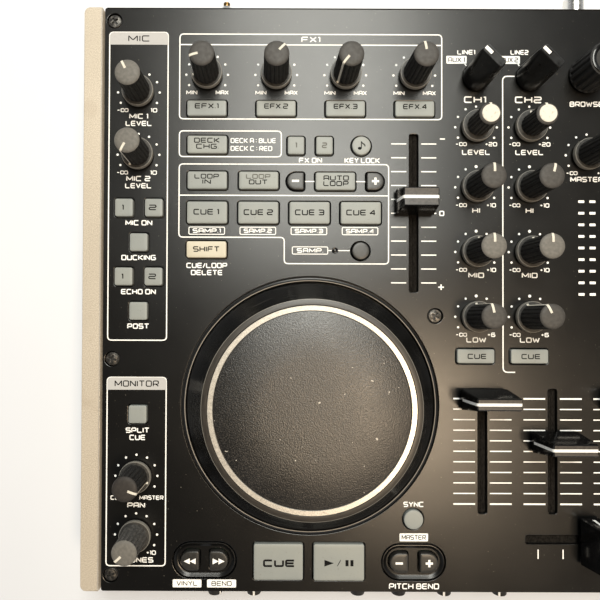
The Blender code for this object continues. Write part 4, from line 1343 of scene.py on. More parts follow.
def build_panel():
    """The top panel, with every opening rounded and its edges broken."""
    low, high = PANEL_LOW, PANEL_HIGH
    width = high.x - low.x - 2 * RAIL_GAP
    outlines = [box_outline(width, high.y - low.y, 0.0, (low.y + high.y) / 2, 1.0)]
    outlines += [disc(SHAFT_HOLE, x, y, 24) for x, y in shaft_places()]
    outlines += [disc(JOG_OPENING, side * DECK_X, JOG_Y, JOG_SEGMENTS) for side in (-1, 1)]
    outlines += [disc(SCREW_SEAT, x, y, 28) for x, y in screw_places()]
    for x, y, slot_width, slot_depth in fader_slots().values():
        outlines.append(rounded(slot_width, slot_depth, (1.0,) * 4, x, y, steps=4))
    outlines += key_holes()
    outlines += [dish_outline(x, y, 0.0) for x, y, *_ in dish_places()]
    mesh = plate_mesh("panel_plate", outlines, TOP - PANEL_THICKNESS, TOP, HOLE_EDGE)
    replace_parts(piece("panel_plate", mesh, "panel", "chassis"), "top_panel")
    # The sheet's fold shows as a dark line along the rear edge: painted shade, a strip of the near-black
    # felt look laid along the fold
    fold = [box_outline(width - 2.0, FOLD_WIDTH, 0.0, high.y - FOLD_WIDTH / 2)]
    fold_shade_mesh = plate_mesh("panel_fold_shade", fold, TOP - 0.4, TOP + 0.03, 0.05)
    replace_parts(piece("panel_rear_fold_shade", fold_shade_mesh, "felt", "chassis"), "top_panel")
    build_dishes()
    build_screws(screw_places(), TOP, 1, "panel")


# Distance in from the panel's opening, and height, across a dish's rim and down its inner wall
DISH_SECTION = ((DISH_GAP, -1.3), (DISH_GAP, -0.12), (DISH_GAP + 0.1, -0.02), (DISH_GAP + 0.35, 0.0),
                (DISH_GAP + 0.5, -0.1), (DISH_GAP + 0.95, -0.5), (DISH_GAP + 1.4, -0.8),
                (DISH_WALL, -DISH_DEPTH))


def dish_wall(x, y):
    """Thin rim and sloping wall of a dish, with a dark gap left round it."""
    bm = bmesh.new()
    loops = []
    for inset, z in DISH_SECTION:
        outline = at_height(dish_outline(x, y, inset), TOP + z)
        loops.append([bm.verts.new(point) for point in outline])
    for upper, lower in zip(loops, loops[1:]):
        for i in range(len(upper)):
            j = (i + 1) % len(upper)
            bm.faces.new((upper[i], upper[j], lower[j], lower[i]))
    return mesh_from(bm, "dish_wall", tidy=False)


def dish_floor(x, y, nodes, shift):
    """Floor of a dish, with holes for its two keys."""
    outlines = [dish_outline(x, y, DISH_WALL - 0.3)]
    for node in nodes:
        kind, key_x, key_y, width, depth = key_places(node)[0]
        outlines.append(key_outline(kind, width, depth, KEY_CLEARANCE, key_x + shift, key_y))
    top = TOP - DISH_DEPTH - 0.02
    return plate_mesh("dish_floor", outlines, top - 0.6, top, 0.2)


def build_dishes():
    for number, (x, y, nodes, shift) in enumerate(dish_places(), start=1):
        piece("dish_wall_" + str(number), dish_wall(x, y), "panel", "chassis")
        piece("dish_floor_" + str(number), dish_floor(x, y, nodes, shift), "panel", "chassis")


def cross_outline(arm, half):
    """A cross recess as one outline."""
    points = []
    for i in range(4):
        turn = Matrix.Rotation(math.radians(90 * i), 2)
        points += [tuple(turn @ Vector(p)) for p in ((half, half), (half, arm), (-half, arm))]
    return points


def screw_meshes():
    """Countersunk head with a cross recess, and the dark floor of the recess."""
    outlines = [disc(SCREW_RADIUS, steps=36), cross_outline(1.6, 0.36)]
    head = plate_mesh("screw_head", outlines, -0.9, 0.0, 0.14)
    for vertex in head.vertices:
        reach = math.hypot(vertex.co.x, vertex.co.y) / (SCREW_RADIUS * MM)
        vertex.co.z -= SCREW_CROWN * MM * reach * reach
    return head, turned_mesh("screw_seat", [(2.9, -0.75), (2.9, -1.2)], 36)


SCREW_HEAD, SCREW_FLOOR = screw_meshes()


def build_screws(places, z, way, label):
    """Screws in a face that points up (way 1) or down (way -1), each turned a little differently."""
    for number, (x, y) in enumerate(places, start=1):
        for suffix, mesh, look in (("head", SCREW_HEAD, "screw"), ("floor", SCREW_FLOOR, "casing")):
            obj = piece(label + "_screw_" + str(number) + "_" + suffix, mesh, look, "chassis",
                        (x, y, z), math.radians(37 * number))
            if way < 0:
                obj.rotation_euler.x = math.pi


# ---- Panel printing ----------------------------------------------------------------------------

def add_frame_line(bm, points, z, radius=BOX_CORNER, width=LINE, closed=True):
    add_stripe(bm, filleted(points, radius, closed), width, z, closed)


def rectangle_points(low_x, high_x, low_y, high_y):
    return [(low_x, high_y), (low_x, low_y), (high_x, low_y), (high_x, high_y)]


def add_filled_label(light, dark, text, x, y, width, z, text_width):
    """A white bar with the word left dark in it."""
    add_patch(light, box_outline(width, 3.4, x, y, 0.45), z)
    add_text(dark, text, x, y, z + LABEL_LIFT, 2.1, text_width, 0.32)


def add_outlined_label(light, text, x, y, width, z, text_width):
    add_stripe(light, box_outline(width - 0.35, 3.1, x, y, 0.5), 0.36, z, closed=True)
    add_text(light, text, x, y, z, 1.95, text_width, 0.40)


# Knob scales: distance of the dots, widths of the end marks, and how far in front of the knob they lie
DOT_DISTANCE = 9.0
END_WIDTHS = {"-~": 4.9, "10": 2.9, "+10": 4.1, "+20": 5.2, "+6": 3.4, "MIN": 4.8, "MAX": 5.6,
              "MASTER": 10.3, "CUE": 5.4}
END_DROPS = {"+20": 7.3, "MASTER": 9.3}


def add_knob_scale(light, x, y, z, low_text, high_text, names, big_middle=False, low_shift=-6.9):
    """Dots round a knob, its end marks, and its name below."""
    for degrees in range(-120, 150, 30):
        turn = math.radians(degrees)
        radius = 0.66 if big_middle and degrees == 0 else 0.5
        dot_x = x + DOT_DISTANCE * math.sin(turn)
        dot_y = y + DOT_DISTANCE * math.cos(turn)
        add_patch(light, disc(radius, dot_x, dot_y, 12), z)
    y_ends = y - END_DROPS.get(high_text, 7.7)
    for text, shift in ((low_text, low_shift), (high_text, 6.5)):
        add_text(light, text, x + shift, y_ends, z, 1.85, END_WIDTHS[text], 0.36)
    for text, drop, width in names:
        add_text(light, text, x, y - drop, z, TEXT_HEIGHT, width)


# Distance of the end strips' boxes from the middle line: inner side and outer side
STRIP_SIDES = (180.75, 206.05)
# Front end and rear end of a strip's two boxes, and the front end of each heading
REAR_BOX = (-18.35, 114.75, 109.4)
FRONT_BOX = (-114.7, -34.3, -39.6)
# Places on a deck, from its middle line: half width of its boxes, right side of the loop box, the
# lamp, and the rows of the sampler key and of the jog mode labels
DECK_HALF = 56.6
LOOP_RIGHT = 33.7
LAMP_X = 10.6
SAMPLER_Y = 20.5
MODE_LABEL_Y = -122.1


def print_strip(light, grey, dark, z, side, words):
    """The microphone and monitor strip, or its counterpart at the right end."""
    x = side * sum(STRIP_SIDES) / 2
    low_x, high_x = sorted(side * edge for edge in STRIP_SIDES)
    for (name, width), (low_y, high_y, header_y) in zip(words["boxes"], (REAR_BOX, FRONT_BOX)):
        add_frame_line(light, rectangle_points(low_x, high_x, low_y, high_y), z)
        header = rounded(high_x - low_x, high_y - header_y, (BOX_CORNER, BOX_CORNER, 0, 0), x,
                         (high_y + header_y) / 2)
        add_patch(grey, header, z + LAYER)
        add_text(dark, name, x, (high_y + header_y) / 2, z + LAYER + LABEL_LIFT, 2.7, width, 0.45)
    for node, (low_text, high_text, names, low_shift) in zip(STRIP_KNOBS, words["knobs"]):
        knob_x, knob_y = middle(node)
        knob_x = knob_x if side < 0 else -knob_x
        add_knob_scale(light, knob_x, knob_y, z, low_text, high_text, names, low_shift=low_shift)
    for text, drop_from, drop, width in words["keys"]:
        add_text(light, text, x + 0.45, middle(drop_from)[1] - drop, z, TEXT_HEIGHT, width)


# Boxes: (word, width), from the rear. Knobs: (low end, high end, names as (word, drop, width), shift
# of the low end). Keys: (word, the key it belongs to, distance in front of the key, width).
LEFT_STRIP_WORDS = {
    "boxes": [("MIC", 9.3), ("MONITOR", 19.0)],
    "knobs": [
        ("-~", "10", [("MIC 1", 10.3, 8.2), ("LEVEL", 13.4, 11.4)], -6.9),
        ("-~", "10", [("MIC 2", 10.3, 10.4), ("LEVEL", 13.4, 11.4)], -6.9),
        ("CUE", "MASTER", [("PAN", 12.5, 7.6)], -8.3),
        ("-~", "+10", [("PHONES", 10.8, 15.0)], -6.9),
    ],
    "keys": [("MIC ON", "mic_on_keys", 6.4, 11.6), ("DUCKING", "ducking_key", 6.5, 14.9),
             ("ECHO ON", "echo_on_keys", 6.5, 15.0), ("POST", "post_key", 6.5, 9.4),
             ("SPLIT", "split_cue_key", 6.9, 10.2), ("CUE", "split_cue_key", 10.0, 6.9)],
}
RIGHT_STRIP_WORDS = {
    "boxes": [("AUX", 9.3), ("OUTPUT", 16.5)],
    "knobs": [
        ("-~", "10", [("AUX 1", 10.3, 9.0), ("LEVEL", 13.4, 11.4)], -6.9),
        ("-~", "10", [("AUX 2", 10.3, 11.2), ("LEVEL", 13.4, 11.4)], -6.9),
        ("MIN", "MAX", [("TONE", 12.5, 9.8)], -6.6),
        ("-~", "+10", [("BOOTH", 10.8, 12.4)], -6.9),
    ],
    "keys": [("AUX ON", "mic_on_keys", 6.4, 13.0), ("LINE", "ducking_key", 6.5, 7.6),
             ("ECHO ON", "echo_on_keys", 6.5, 15.5), ("POST", "post_key", 6.5, 9.8),
             ("MONO", "split_cue_key", 6.9, 10.6)],
}


def moved(points, x0):
    return [(x0 + x, y) for x, y in points]


def print_effects(light, z, x0, letters, number):
    """Box of the effect knobs and keys, deck choice box, and the words under them."""
    box = rectangle_points(-DECK_HALF, DECK_HALF, 77.25, 114.1)
    add_frame_line(light, moved(box, x0), z)
    add_stripe(light, moved([(-DECK_HALF, 109.5), (DECK_HALF, 109.5)], x0), LINE, z + LAYER)
    add_text(light, "FX" + number, x0, 111.85, z, 2.5, 8.2)
    for x, y in map(middle, FX_KNOBS):
        add_knob_scale(light, x + DECK_X + x0, y, z, "MIN", "MAX", [], low_shift=-6.6)
    choice_box = rectangle_points(-DECK_HALF, -12.6, 60.9, 72.05)
    add_frame_line(light, moved(choice_box, x0), z)
    add_text(light, "DECK " + letters[0] + " : BLUE", x0 - 24.7, 67.9, z, 2.15, 19.6, 0.38)
    add_text(light, "DECK " + letters[1] + " : RED", x0 - 25.5, 64.5, z, 2.15, 18.0, 0.38)
    add_text(light, "FX ON", x0, 59.45, z, TEXT_HEIGHT, 10.0)
    add_text(light, "KEY LOCK", x0 + 22.3, 59.45, z, TEXT_HEIGHT, 15.3)


def print_loops(light, z, x0):
    """Box of the loop and hot cue keys, and the sampler labels."""
    box = [(-DECK_HALF, 57.7), (-DECK_HALF, 26.1), (-11.2, 26.1), (-11.2, 14.8), (LOOP_RIGHT, 14.8)]
    add_frame_line(light, moved(box + [(LOOP_RIGHT, 57.7)], x0), z)
    add_stripe(light, moved([(-DECK_HALF, 44.2), (LOOP_RIGHT, 44.2)], x0), LINE, z + LAYER)
    for low_x, high_x in ((-2.3, 1.7), (19.7, 23.6)):
        add_stripe(light, moved([(low_x, 50.3), (high_x, 50.3)], x0), 0.45, z)
    for i, (_, x, _, _, _) in enumerate(key_places("hot_cue_keys"), start=1):
        label_x = x + DECK_X + x0 - 0.2
        add_outlined_label(light, "SAMP." + str(i), label_x, 28.9, 15.7, z, 12.2)
    add_outlined_label(light, "SAMP.", x0 - 0.1, SAMPLER_Y, 15.6, z, 11.4)
    for low_x, high_x in ((7.6, 9.2), (12.0, 17.0)):
        add_stripe(light, moved([(low_x, SAMPLER_Y), (high_x, SAMPLER_Y)], x0), 0.4, z)
    add_text(light, "CUE/LOOP", x0 - 44.5, 13.9, z, TEXT_HEIGHT, 17.6)
    add_text(light, "DELETE", x0 - 44.5, 10.85, z, TEXT_HEIGHT, 13.7)


def print_transport(light, dark, z, x0):
    """Labels of the jog modes, the sync key and the pitch bend keys."""
    add_filled_label(light, dark, "VINYL", x0 - 52.25, MODE_LABEL_Y, 12.3, z, 9.0)
    add_filled_label(light, dark, "BEND", x0 - 37.5, MODE_LABEL_Y, 12.4, z, 8.6)
    add_text(light, "SYNC", x0 + 44.5, -88.15, z, TEXT_HEIGHT, 8.8)
    add_filled_label(light, dark, "MASTER", x0 + 44.6, -102.2, 12.2, z, 10.4)
    add_text(light, "PITCH BEND", x0 + 44.7, -123.0, z, 2.5, 21.4)


def print_deck(light, dark, z, x0, letters, number):
    """All printing of one deck, measured from its middle line x0."""
    print_effects(light, z, x0, letters, number)
    print_loops(light, z, x0)
    print_pitch_scale(light, z, x0)
    print_transport(light, dark, z, x0)


def print_pitch_scale(light, z, x0):
    """Marks on both sides of the pitch fader, its zero, and the signs at its ends."""
    x = x0 + middle("pitch_fader_left")[0] + DECK_X
    zero_y = 36.7
    for i in range(-5, 6):
        y = zero_y + 6.0 * i
        for side in (-1, 1):
            add_stripe(light, [(x + side * 3.2, y), (x + side * 9.75, y)], 0.5, z)
    add_stripe(light, [(x + 11.3, zero_y + 32.2), (x + 13.5, zero_y + 32.2)], 0.55, z)
    add_text(light, "0", x + 12.1, zero_y, z, 2.3, 2.2, 0.5)
    add_stripe(light, [(x + 10.6, zero_y - 31.8), (x + 13.0, zero_y - 31.8)], 0.55, z)
    add_stripe(light, [(x + 11.8, zero_y - 33.0), (x + 11.8, zero_y - 30.6)], 0.55, z + LAYER)


def print_channels(light, dark, z):
    """Words and scales of the four channels, and the brackets that join them to the middle."""
    selector_y = middle("channel_1_selector")[1]
    rows = (("+20", "LEVEL", 10.8, 12.2), ("+10", "HI", 10.0, 3.4), ("+10", "MID", 10.0, 6.8),
            ("+6", "LOW", 9.9, 8.6))
    for number, x in enumerate(CHANNEL_XS, start=1):
        add_text(light, "LINE" + str(number), x - 4.2, selector_y + 11.1, z, 2.1, 7.8, 0.42)
        add_filled_label(light, dark, "AUX " + str(number), x - 8.4, selector_y + 7.8, 8.8, z, 7.2)
        add_stripe(light, [(x - 5.2, selector_y + 6.4), (x - 4.2, selector_y + 5.2)], 0.45, z)
        width = 9.6 if number == 1 else 11.6
        add_text(light, "CH" + str(number), x - 0.4, selector_y - 9.5, z, 2.9, width, 0.58)
        for node, (high_text, name, drop, width) in zip(CHANNEL_KNOBS, rows):
            names = [(name, drop, width)]
            big_middle = name != "LEVEL"
            add_knob_scale(light, x, middle(node)[1], z, "-~", high_text, names, big_middle, -6.4)
    inner, outer, low_y, high_y = 31.0, 36.2, -31.55, 96.2
    for side in (-1, 1):
        bracket = [(inner, high_y), (outer, high_y), (outer, low_y), (inner, low_y)]
        add_frame_line(light, [(side * x, y) for x, y in bracket], z, 2.0, closed=False)


def print_channel_faders(light, z):
    """Eleven marks on both sides of each channel fader, over its whole travel."""
    top_y = middle("channel_fader_1")[1]
    for number in range(1, 5):
        x = middle("channel_fader_" + str(number))[0]
        for i in range(11):
            y = top_y - 4.5 * i
            width = 0.7 if i in (0, 10) else 0.5
            for side in (-1, 1):
                add_stripe(light, [(x + side * 3.15, y), (x + side * 12.5, y)], width, z)


def print_middle(light, z):
    """The middle column: browse and master words, level lamps, and the crossfader's marks."""
    add_text(light, "BROWSE", 0.0, BROWSE_Y - 12.2, z, TEXT_HEIGHT, 14.6)
    add_knob_scale(light, 0.0, MASTER_Y, z, "-~", "+10", [("MASTER", 10.4, 14.2)], low_shift=-6.4)
    for i in range(9):
        for side in (-1, 1):
            add_patch(light, box_outline(2.6, 1.1, side * 2.4, 42.0 - 5.0 * i, 0.2), z)
    x, y, width, _ = fader_slots()["crossfader"]
    for i in range(-2, 3):
        ends = [(x + i * width / 5, y - 8.2), (x + i * width / 5, y - 4.2)]
        add_stripe(light, ends, 0.5, z)


def build_printing():
    light = bmesh.new()
    grey = bmesh.new()
    dark = bmesh.new()
    z = TOP + PRINT_LIFT
    print_strip(light, grey, dark, z, -1, LEFT_STRIP_WORDS)
    print_strip(light, grey, dark, z, 1, RIGHT_STRIP_WORDS)
    print_deck(light, dark, z, -DECK_X, "AC", "1")
    print_deck(light, dark, z, DECK_X, "BD", "2")
    print_channels(light, dark, z)
    print_channel_faders(light, z)
    print_middle(light, z)
    for name, ink, look in (("white", light, "print"), ("grey", grey, "print_grey"),
                            ("dark", dark, "print_dark")):
        name = "panel_print_" + name
        piece(name, mesh_from(ink, name, tidy=False), look, "chassis")


def build_lamps():
    """Small dark-ringed lamp beside each sampler key."""
    for number, x0 in enumerate((-DECK_X, DECK_X), start=1):
        place = (x0 + LAMP_X, SAMPLER_Y, TOP)
        profile = [(0.95, 0.3), (1.15, 0.35), (1.35, 0.2), (1.4, -0.2), (0.95, -0.2)]
        ring = ring_mesh("lamp_ring", profile, 28)
        piece("lamp_ring_" + str(number), ring, "bezel", "chassis", place)
        dome = turned_mesh("lamp_dome", [(0.2, 0.42), (0.55, 0.36), (0.85, 0.15), (0.95, -0.1)], 20)
        piece("lamp_dome_" + str(number), dome, "gloss", "chassis", place)


# ---- Casing ------------------------------------------------------------------------------------

def build_rails():
    """End cheeks with rounded outer corners, and a thin strip of bright metal beside the panel, a
    painted highlight of the cheek's inner edge.
    """
    for side_name, side in (("left", -1), ("right", 1)):
        node = "side_rail_" + side_name
        low, high = corners(node)
        outer = 2.6
        radii = (outer, 0.3, 0.3, outer) if side > 0 else (0.3, outer, outer, 0.3)
        outline = rounded(high.x - low.x, high.y - low.y, radii, *middle(node))
        mesh = plate_mesh(node, [outline], low.z, high.z, 0.45)
        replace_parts(piece(node + "_cheek", mesh, "rail", "chassis"), node)
        # A thin bright metal strip along the inner top edge: a painted highlight of that edge
        inner_x = low.x if side > 0 else high.x
        strip = box_outline(0.4, high.y - low.y - 0.8, inner_x + side * 0.35, (low.y + high.y) / 2)
        edge = plate_mesh(node + "_highlight_strip", [strip], high.z - 0.5, high.z + 0.03, 0.05)
        piece(node + "_highlight_strip", edge, "bright_ring", "chassis")


PLATE_EDGE = 0.15


def standing_plate(name, outlines, y, thickness):
    """A plate drawn in X and Z, standing upright with its middle at y."""
    mesh = plate_mesh(name, outlines, -thickness / 2, thickness / 2, PLATE_EDGE)
    turn = Matrix.Rotation(math.radians(90), 4, "X")
    mesh.transform(Matrix.Translation((0, y * MM, 0)) @ turn)
    return mesh


# Places of the parts on the front and rear plates
FRONT_ROW_Z = 17.5
FRONT_KNOB_XS = (-161.3, -143.3, -95.5, -76.6, -55.6, -29.9)
FRONT_KNOB_ANGLES = (50, 0, 120, -85, -15, -22)
PHONES_SOCKET_X = 160.0
PHONO_XS = (0.0, 20.0, 40.0, 60.0, 80.0, 100.0)
PHONO_ZS = (13.0, 26.0)
MIC_SOCKET_XS = (-135.0, -115.0)
GROUND_X = -156.5
GROUND_Z = 24.0
USB_X = 130.0
POWER_X = 160.0
SOCKET_Z = 19.5
VENT_XS = [-90.0 + 5.0 * i for i in range(8)]


def build_front():
    low, high = corners("front_panel")
    y = (low.y + high.y) / 2
    z = (low.z + high.z) / 2
    outlines = [box_outline(high.x - low.x, high.z - low.z, 0.0, z, 0.3)]
    outlines += [disc(3.0, x, FRONT_ROW_Z, 28) for x in FRONT_KNOB_XS]
    outlines.append(disc(5.0, PHONES_SOCKET_X, FRONT_ROW_Z, 36))
    mesh = standing_plate("front_plate", outlines, y, high.y - low.y)
    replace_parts(piece("front_plate", mesh, "casing", "chassis"), "front_panel")
    made = front_knobs() + jack_socket("phones_socket", PHONES_SOCKET_X, FRONT_ROW_Z, FRONT_Y, -1)
    for obj in made:
        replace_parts(obj, "front_knob_board")


def facing(side):
    """Turn from +Z to the front (-1) or the rear (+1)."""
    return Matrix.Rotation(math.radians(90 if side < 0 else -90), 4, "X")


def facing_piece(name, mesh, look, x, y, z, side, spin=0.0):
    """A piece drawn along +Z, turned to stick out of the front or rear face."""
    mesh.transform(facing(side) @ Matrix.Rotation(spin, 4, "Z"))
    return piece(name, mesh, look, "chassis", (x, y, z))


def front_knobs():
    """Small trim knobs, each with a white line on its end and side."""
    made = []
    proud = FRONT_Y - corners("front_knob_board")[0].y
    profile = [(2.6, proud), (3.1, proud - 0.2), (3.3, proud - 0.6), (3.55, 1.2), (3.4, 0.8)]
    profile += [(2.5, 0.8), (2.5, -3.0)]
    path = [(0.4, proud + 0.02), (2.65, proud + 0.02), (3.16, proud - 0.2), (3.36, proud - 0.6)]
    path.append((3.58, 1.4))
    for number, (x, angle) in enumerate(zip(FRONT_KNOB_XS, FRONT_KNOB_ANGLES), start=1):
        name = "front_knob_" + str(number)
        place = (x, FRONT_Y, FRONT_ROW_Z, -1)
        grip = turned_mesh(name + "_grip", profile, 36)
        made.append(facing_piece(name + "_grip", grip, "knob", *place))
        line = strip_mesh(name + "_line", path, 0.9)
        made.append(facing_piece(name + "_line", line, "print", *place, -math.radians(angle)))
    return made


def facing_set(name, place, parts):
    """Several rings on one axis, each as (suffix, profile, segments, look)."""
    made = []
    for suffix, profile, segments, look in parts:
        mesh = ring_mesh(name + suffix, profile, segments)
        made.append(facing_piece(name + suffix, mesh, look, *place))
    return made


def jack_socket(name, x, z, y, side):
    """A 6.35 mm socket: plastic collar, plated nut and dark bore."""
    collar = [(3.3, 0.5), (3.9, 0.8), (4.5, 0.7), (4.6, 0.3), (4.6, -5.0), (3.3, -5.0)]
    bore = [(3.22, 0.3), (3.35, 0.3), (3.35, -15.0), (3.22, -15.0)]
    nut = [(4.7, 0.35), (6.1, 0.35), (6.3, 0.15), (6.3, 0.02), (4.7, 0.02)]
    parts = (("_collar", collar, 40, "dark_key"), ("_bore", bore, 32, "casing"),
             ("_nut", nut, 6, "bright_metal"))
    return facing_set(name, (x, y, z, side), parts)


def phono_socket(number, x, z, colour):
    """A phono barrel with a coloured insulator."""
    proud = corners("rear_socket_block")[1].y - REAR_Y
    barrel = [(2.9, proud - 0.2), (3.1, proud), (3.9, proud), (4.15, proud - 0.3), (4.15, 0.6)]
    barrel.append((2.9, 0.6))
    base = [(1.4, 1.4), (4.9, 1.4), (5.2, 1.1), (5.2, 0.02), (1.4, 0.02)]
    core = [(1.4, proud - 1.0), (2.85, proud - 1.0), (2.85, 0.5), (1.4, 0.5)]
    parts = (("_barrel", barrel, 32, "bright_metal"), ("_base", base, 32, colour),
             ("_core", core, 28, colour))
    return facing_set("phono_" + str(number), (x, REAR_Y, z, 1), parts)


def build_rear():
    low, high = corners("rear_panel")
    y = (low.y + high.y) / 2
    z = (low.z + high.z) / 2
    outlines = [box_outline(high.x - low.x, high.z - low.z, 0.0, z, 0.3)]
    outlines += [disc(4.6, x, level, 28) for x in PHONO_XS for level in PHONO_ZS]
    outlines += [disc(5.0, x, SOCKET_Z, 32) for x in (*MIC_SOCKET_XS, POWER_X)]
    outlines.append(box_outline(12.8, 11.8, USB_X, SOCKET_Z, 0.6))
    outlines.append(disc(3.6, GROUND_X, GROUND_Z, 28))
    outlines += [rounded(2.0, 14.0, (0.95,) * 4, x, SOCKET_Z) for x in VENT_XS]
    mesh = standing_plate("rear_plate", outlines, y, high.y - low.y)
    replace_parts(piece("rear_plate", mesh, "casing", "chassis"), "rear_panel")
    made = []
    number = 0
    for x in PHONO_XS:
        for level, colour in zip(PHONO_ZS, ("red", "white")):
            number += 1
            made += phono_socket(number, x, level, colour)
    for i, x in enumerate(MIC_SOCKET_XS, start=1):
        made += jack_socket("mic_socket_" + str(i), x, SOCKET_Z, REAR_Y, 1)
    made += usb_and_power() + ground_post()
    for obj in made:
        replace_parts(obj, "rear_socket_block")
    rear_words()


def ground_post():
    """Knurled ground nut on a threaded brass stud."""
    washer = [(1.6, 0.9), (4.2, 0.9), (4.4, 0.7), (4.4, 0.05), (1.6, 0.05)]
    nut = [(1.7, 6.9), (2.3, 6.7), (2.5, 6.2), (3.2, 3.2), (2.4, 2.6), (2.4, 1.0), (1.4, 0.95)]
    stud = [(1.1, 9.0)]
    for i in range(6):
        stud += [(1.5, 8.9 - 0.5 * i), (1.25, 8.65 - 0.5 * i)]
    place = (GROUND_X, REAR_Y, GROUND_Z, 1)
    made = facing_set("ground", place, (("_washer", washer, 32, "bright_metal"),))
    for name, profile, look in (("ground_nut", nut, "bright_metal"), ("ground_stud", stud, "brass")):
        made.append(facing_piece(name, turned_mesh(name, profile, 24), look, *place))
    return made


def usb_and_power():
    usb = (USB_X, REAR_Y, SOCKET_Z, 1)
    power = (POWER_X, REAR_Y, SOCKET_Z, 1)
    rims = [box_outline(12.0, 11.0, 0, 0, 0.5), box_outline(9.0, 7.8, 0, 0, 0.6)]
    shell = plate_mesh("usb_shell", rims, -6.0, 0.8, 0.15)
    tongue = bmesh.new()
    add_prism(tongue, box_outline(5.6, 3.2), -6.0, -0.4)
    tongue_mesh = mesh_from(tongue, "usb_tongue")
    collar = [(2.7, 0.5), (4.3, 0.8), (4.6, 0.4), (4.6, -5.0), (2.7, -5.0)]
    pin = turned_mesh("power_pin", [(0.5, 0.2), (0.95, -0.1), (1.0, -5.0)], 20)
    return [facing_piece("usb_shell", shell, "bright_metal", *usb),
            facing_piece("usb_tongue", tongue_mesh, "dark_key", *usb),
            *facing_set("power", power, (("_collar", collar, 36, "dark_key"),)),
            facing_piece("power_pin", pin, "bright_metal", *power)]


def rear_words():
    """Plain labels over the rear sockets, read from behind."""
    words = [("MIC 1", MIC_SOCKET_XS[0], 28.3), ("MIC 2", MIC_SOCKET_XS[1], 28.3), ("USB", USB_X, 28.3),
             ("DC IN", POWER_X, 28.3), ("OUT", (PHONO_XS[0] + PHONO_XS[1]) / 2, 19.5),
             ("GND", GROUND_X, 30.2)]
    words += [("LINE " + str(i), x, 33.3) for i, x in enumerate(PHONO_XS[2:], start=1)]
    ink = bmesh.new()
    for text, x, z in words:
        add_text(ink, text, -x, z, 0.0, 2.2)
    mesh = mesh_from(ink, "rear_print", tidy=False)
    mesh.transform(Matrix.Rotation(math.pi, 4, "Z") @ Matrix.Rotation(math.radians(90), 4, "X"))
    piece("rear_print", mesh, "print", "chassis", (0, REAR_Y + PRINT_LIFT, 0))


def build_underside():
    """Bottom cover with vent slots and screws, and ribbed feet."""
    low, high = corners("bottom_cover")
    outlines = [box_outline(high.x - low.x, high.y - low.y, 0.0, (low.y + high.y) / 2, 1.0)]
    for side in (-1, 1):
        for i in range(12):
            outlines.append(rounded(34.0, 2.2, (1.05,) * 4, side * 60.0, 20.0 - 5.0 * i))
    mesh = plate_mesh("bottom_plate", outlines, low.z, high.z, 0.2)
    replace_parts(piece("bottom_plate", mesh, "casing", "chassis"), "bottom_cover")
    cover = box_outline(250.0, 90.0, 0.0, -7.5)
    shield = plate_mesh("vent_shield", [cover], high.z + 0.4, high.z + 0.7, 0.1)
    piece("vent_shield", shield, "bezel", "chassis")
    places = [(side * x, y) for side in (-1, 1) for x in (200, 100) for y in (116, -116)]
    build_screws(places, low.z - 0.02, -1, "bottom")
    for row in ("front", "rear"):
        for side in ("left", "right"):
            build_foot("foot_" + row + "_" + side)


def build_foot(node):
    top = corners(node)[1].z
    profile = [(9.0, top), (9.0, 0.9), (8.7, 0.35), (8.2, 0.0), (6.2, 0.0), (6.0, 0.3), (5.6, 0.3)]
    profile += [(5.4, 0.0), (3.4, 0.0), (3.2, 0.5), (0.5, 0.5)]
    mesh = turned_mesh(node, profile, 48)
    obj = piece(node + "_pad", mesh, "foot", "chassis", (*middle(node), 0.0))
    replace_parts(obj, node)


def build_inside():
    """Resin look for the CAD's own board, and a dark deck that keeps daylight out of the openings."""
    node = frame["nodes"]["left_control_board"]
    node.data.materials.clear()
    node.data.materials.append(MATERIALS["board"])
    shade = plate_mesh("inner_shade", [box_outline(412.0, 236.0, 0.0, -4.0)], TOP - 8.3, TOP - 7.9, 0.1)
    piece("inner_shade", shade, "casing", "chassis")


# ---- Stage, light and camera -------------------------------------------------------------------

def add_area_light(name, place, target, width, depth, watts, colour):
    light = bpy.data.lights.new(name, "AREA")
    light.shape = "RECTANGLE"
    light.size = width * MM
    light.size_y = depth * MM
    light.energy = watts
    light.color = colour
    obj = bpy.data.objects.new(name, light)
    bpy.context.scene.collection.objects.link(obj)
    obj.location = Vector(place) * MM
    aim = Vector(target) - Vector(place)
    obj.rotation_euler = aim.to_track_quat("-Z", "Y").to_euler()


# Width of the tabletop, in metres
TABLE_SIZE = 8.0


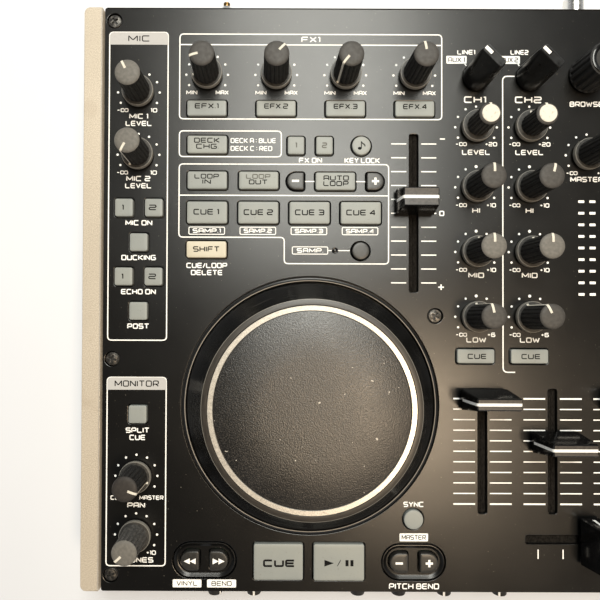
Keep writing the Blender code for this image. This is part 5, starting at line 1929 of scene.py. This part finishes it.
def build_stage():
    mesh = bpy.data.meshes.new("table")
    half = TABLE_SIZE / 2
    rim = [(-half, -half, 0), (half, -half, 0), (half, half, 0), (-half, half, 0)]
    mesh.from_pydata(rim, [], [(0, 1, 2, 3)])
    mesh.materials.append(table_surface())
    table = bpy.data.objects.new("table", mesh)
    bpy.context.scene.collection.objects.link(table)


def build_light():
    """A long soft light over the rear, a warmer one over the front, and a room dark overhead."""
    world = bpy.data.worlds.new("studio")
    world.use_nodes = True
    nodes = world.node_tree.nodes
    background = nodes["Background"]
    background.inputs["Color"].default_value = (0.97, 0.98, 1.0, 1.0)
    coords = nodes.new("ShaderNodeTexCoord")
    parts = nodes.new("ShaderNodeSeparateXYZ")
    fade = nodes.new("ShaderNodeMapRange")
    for socket, value in zip(("From Min", "From Max", "To Min", "To Max"), (0.3, 0.7, 0.5, 0.04)):
        fade.inputs[socket].default_value = value
    links = world.node_tree.links
    links.new(coords.outputs["Generated"], parts.inputs["Vector"])
    links.new(parts.outputs["Z"], fade.inputs["Value"])
    links.new(fade.outputs["Result"], background.inputs["Strength"])
    bpy.context.scene.world = world
    add_area_light("rear_softbox", (-20, 606, 1000), (-20, 606, 0), 472, 885, 17.8, (1.0, 0.99, 0.905))
    add_area_light("front_softbox", (193, -246, 1000), (193, -246, 0), 300, 300, 6.9, (1.0, 0.78, 0.54))


# Place in millimetres, lens in millimetres, and turns in degrees from looking straight down
CAMERA_PLACE = (-135.8, -10.6, 234.2)
CAMERA_LENS = 27.88
CAMERA_TILT = 0.606
CAMERA_ROLL = 0.206
CAMERA_SHIFT = (0.048, 0.0295)


def build_camera():
    data = bpy.data.cameras.new("camera")
    data.lens = CAMERA_LENS
    data.sensor_width = 36.0
    data.shift_x, data.shift_y = CAMERA_SHIFT
    data.clip_start = 0.01
    camera = bpy.data.objects.new("camera", data)
    bpy.context.scene.collection.objects.link(camera)
    camera.location = Vector(CAMERA_PLACE) * MM
    camera.rotation_euler = (math.radians(CAMERA_TILT), 0.0, math.radians(CAMERA_ROLL))
    bpy.context.scene.camera = camera


bpy.context.scene.view_settings.view_transform = "Standard"
build_camera()
build_light()
build_stage()
build_panel()
build_printing()
build_lamps()
build_keys()
build_knobs()
build_selectors()
build_faders()
build_slot_felts()
build_jogs()
build_rails()
build_front()
build_rear()
build_underside()
build_inside()
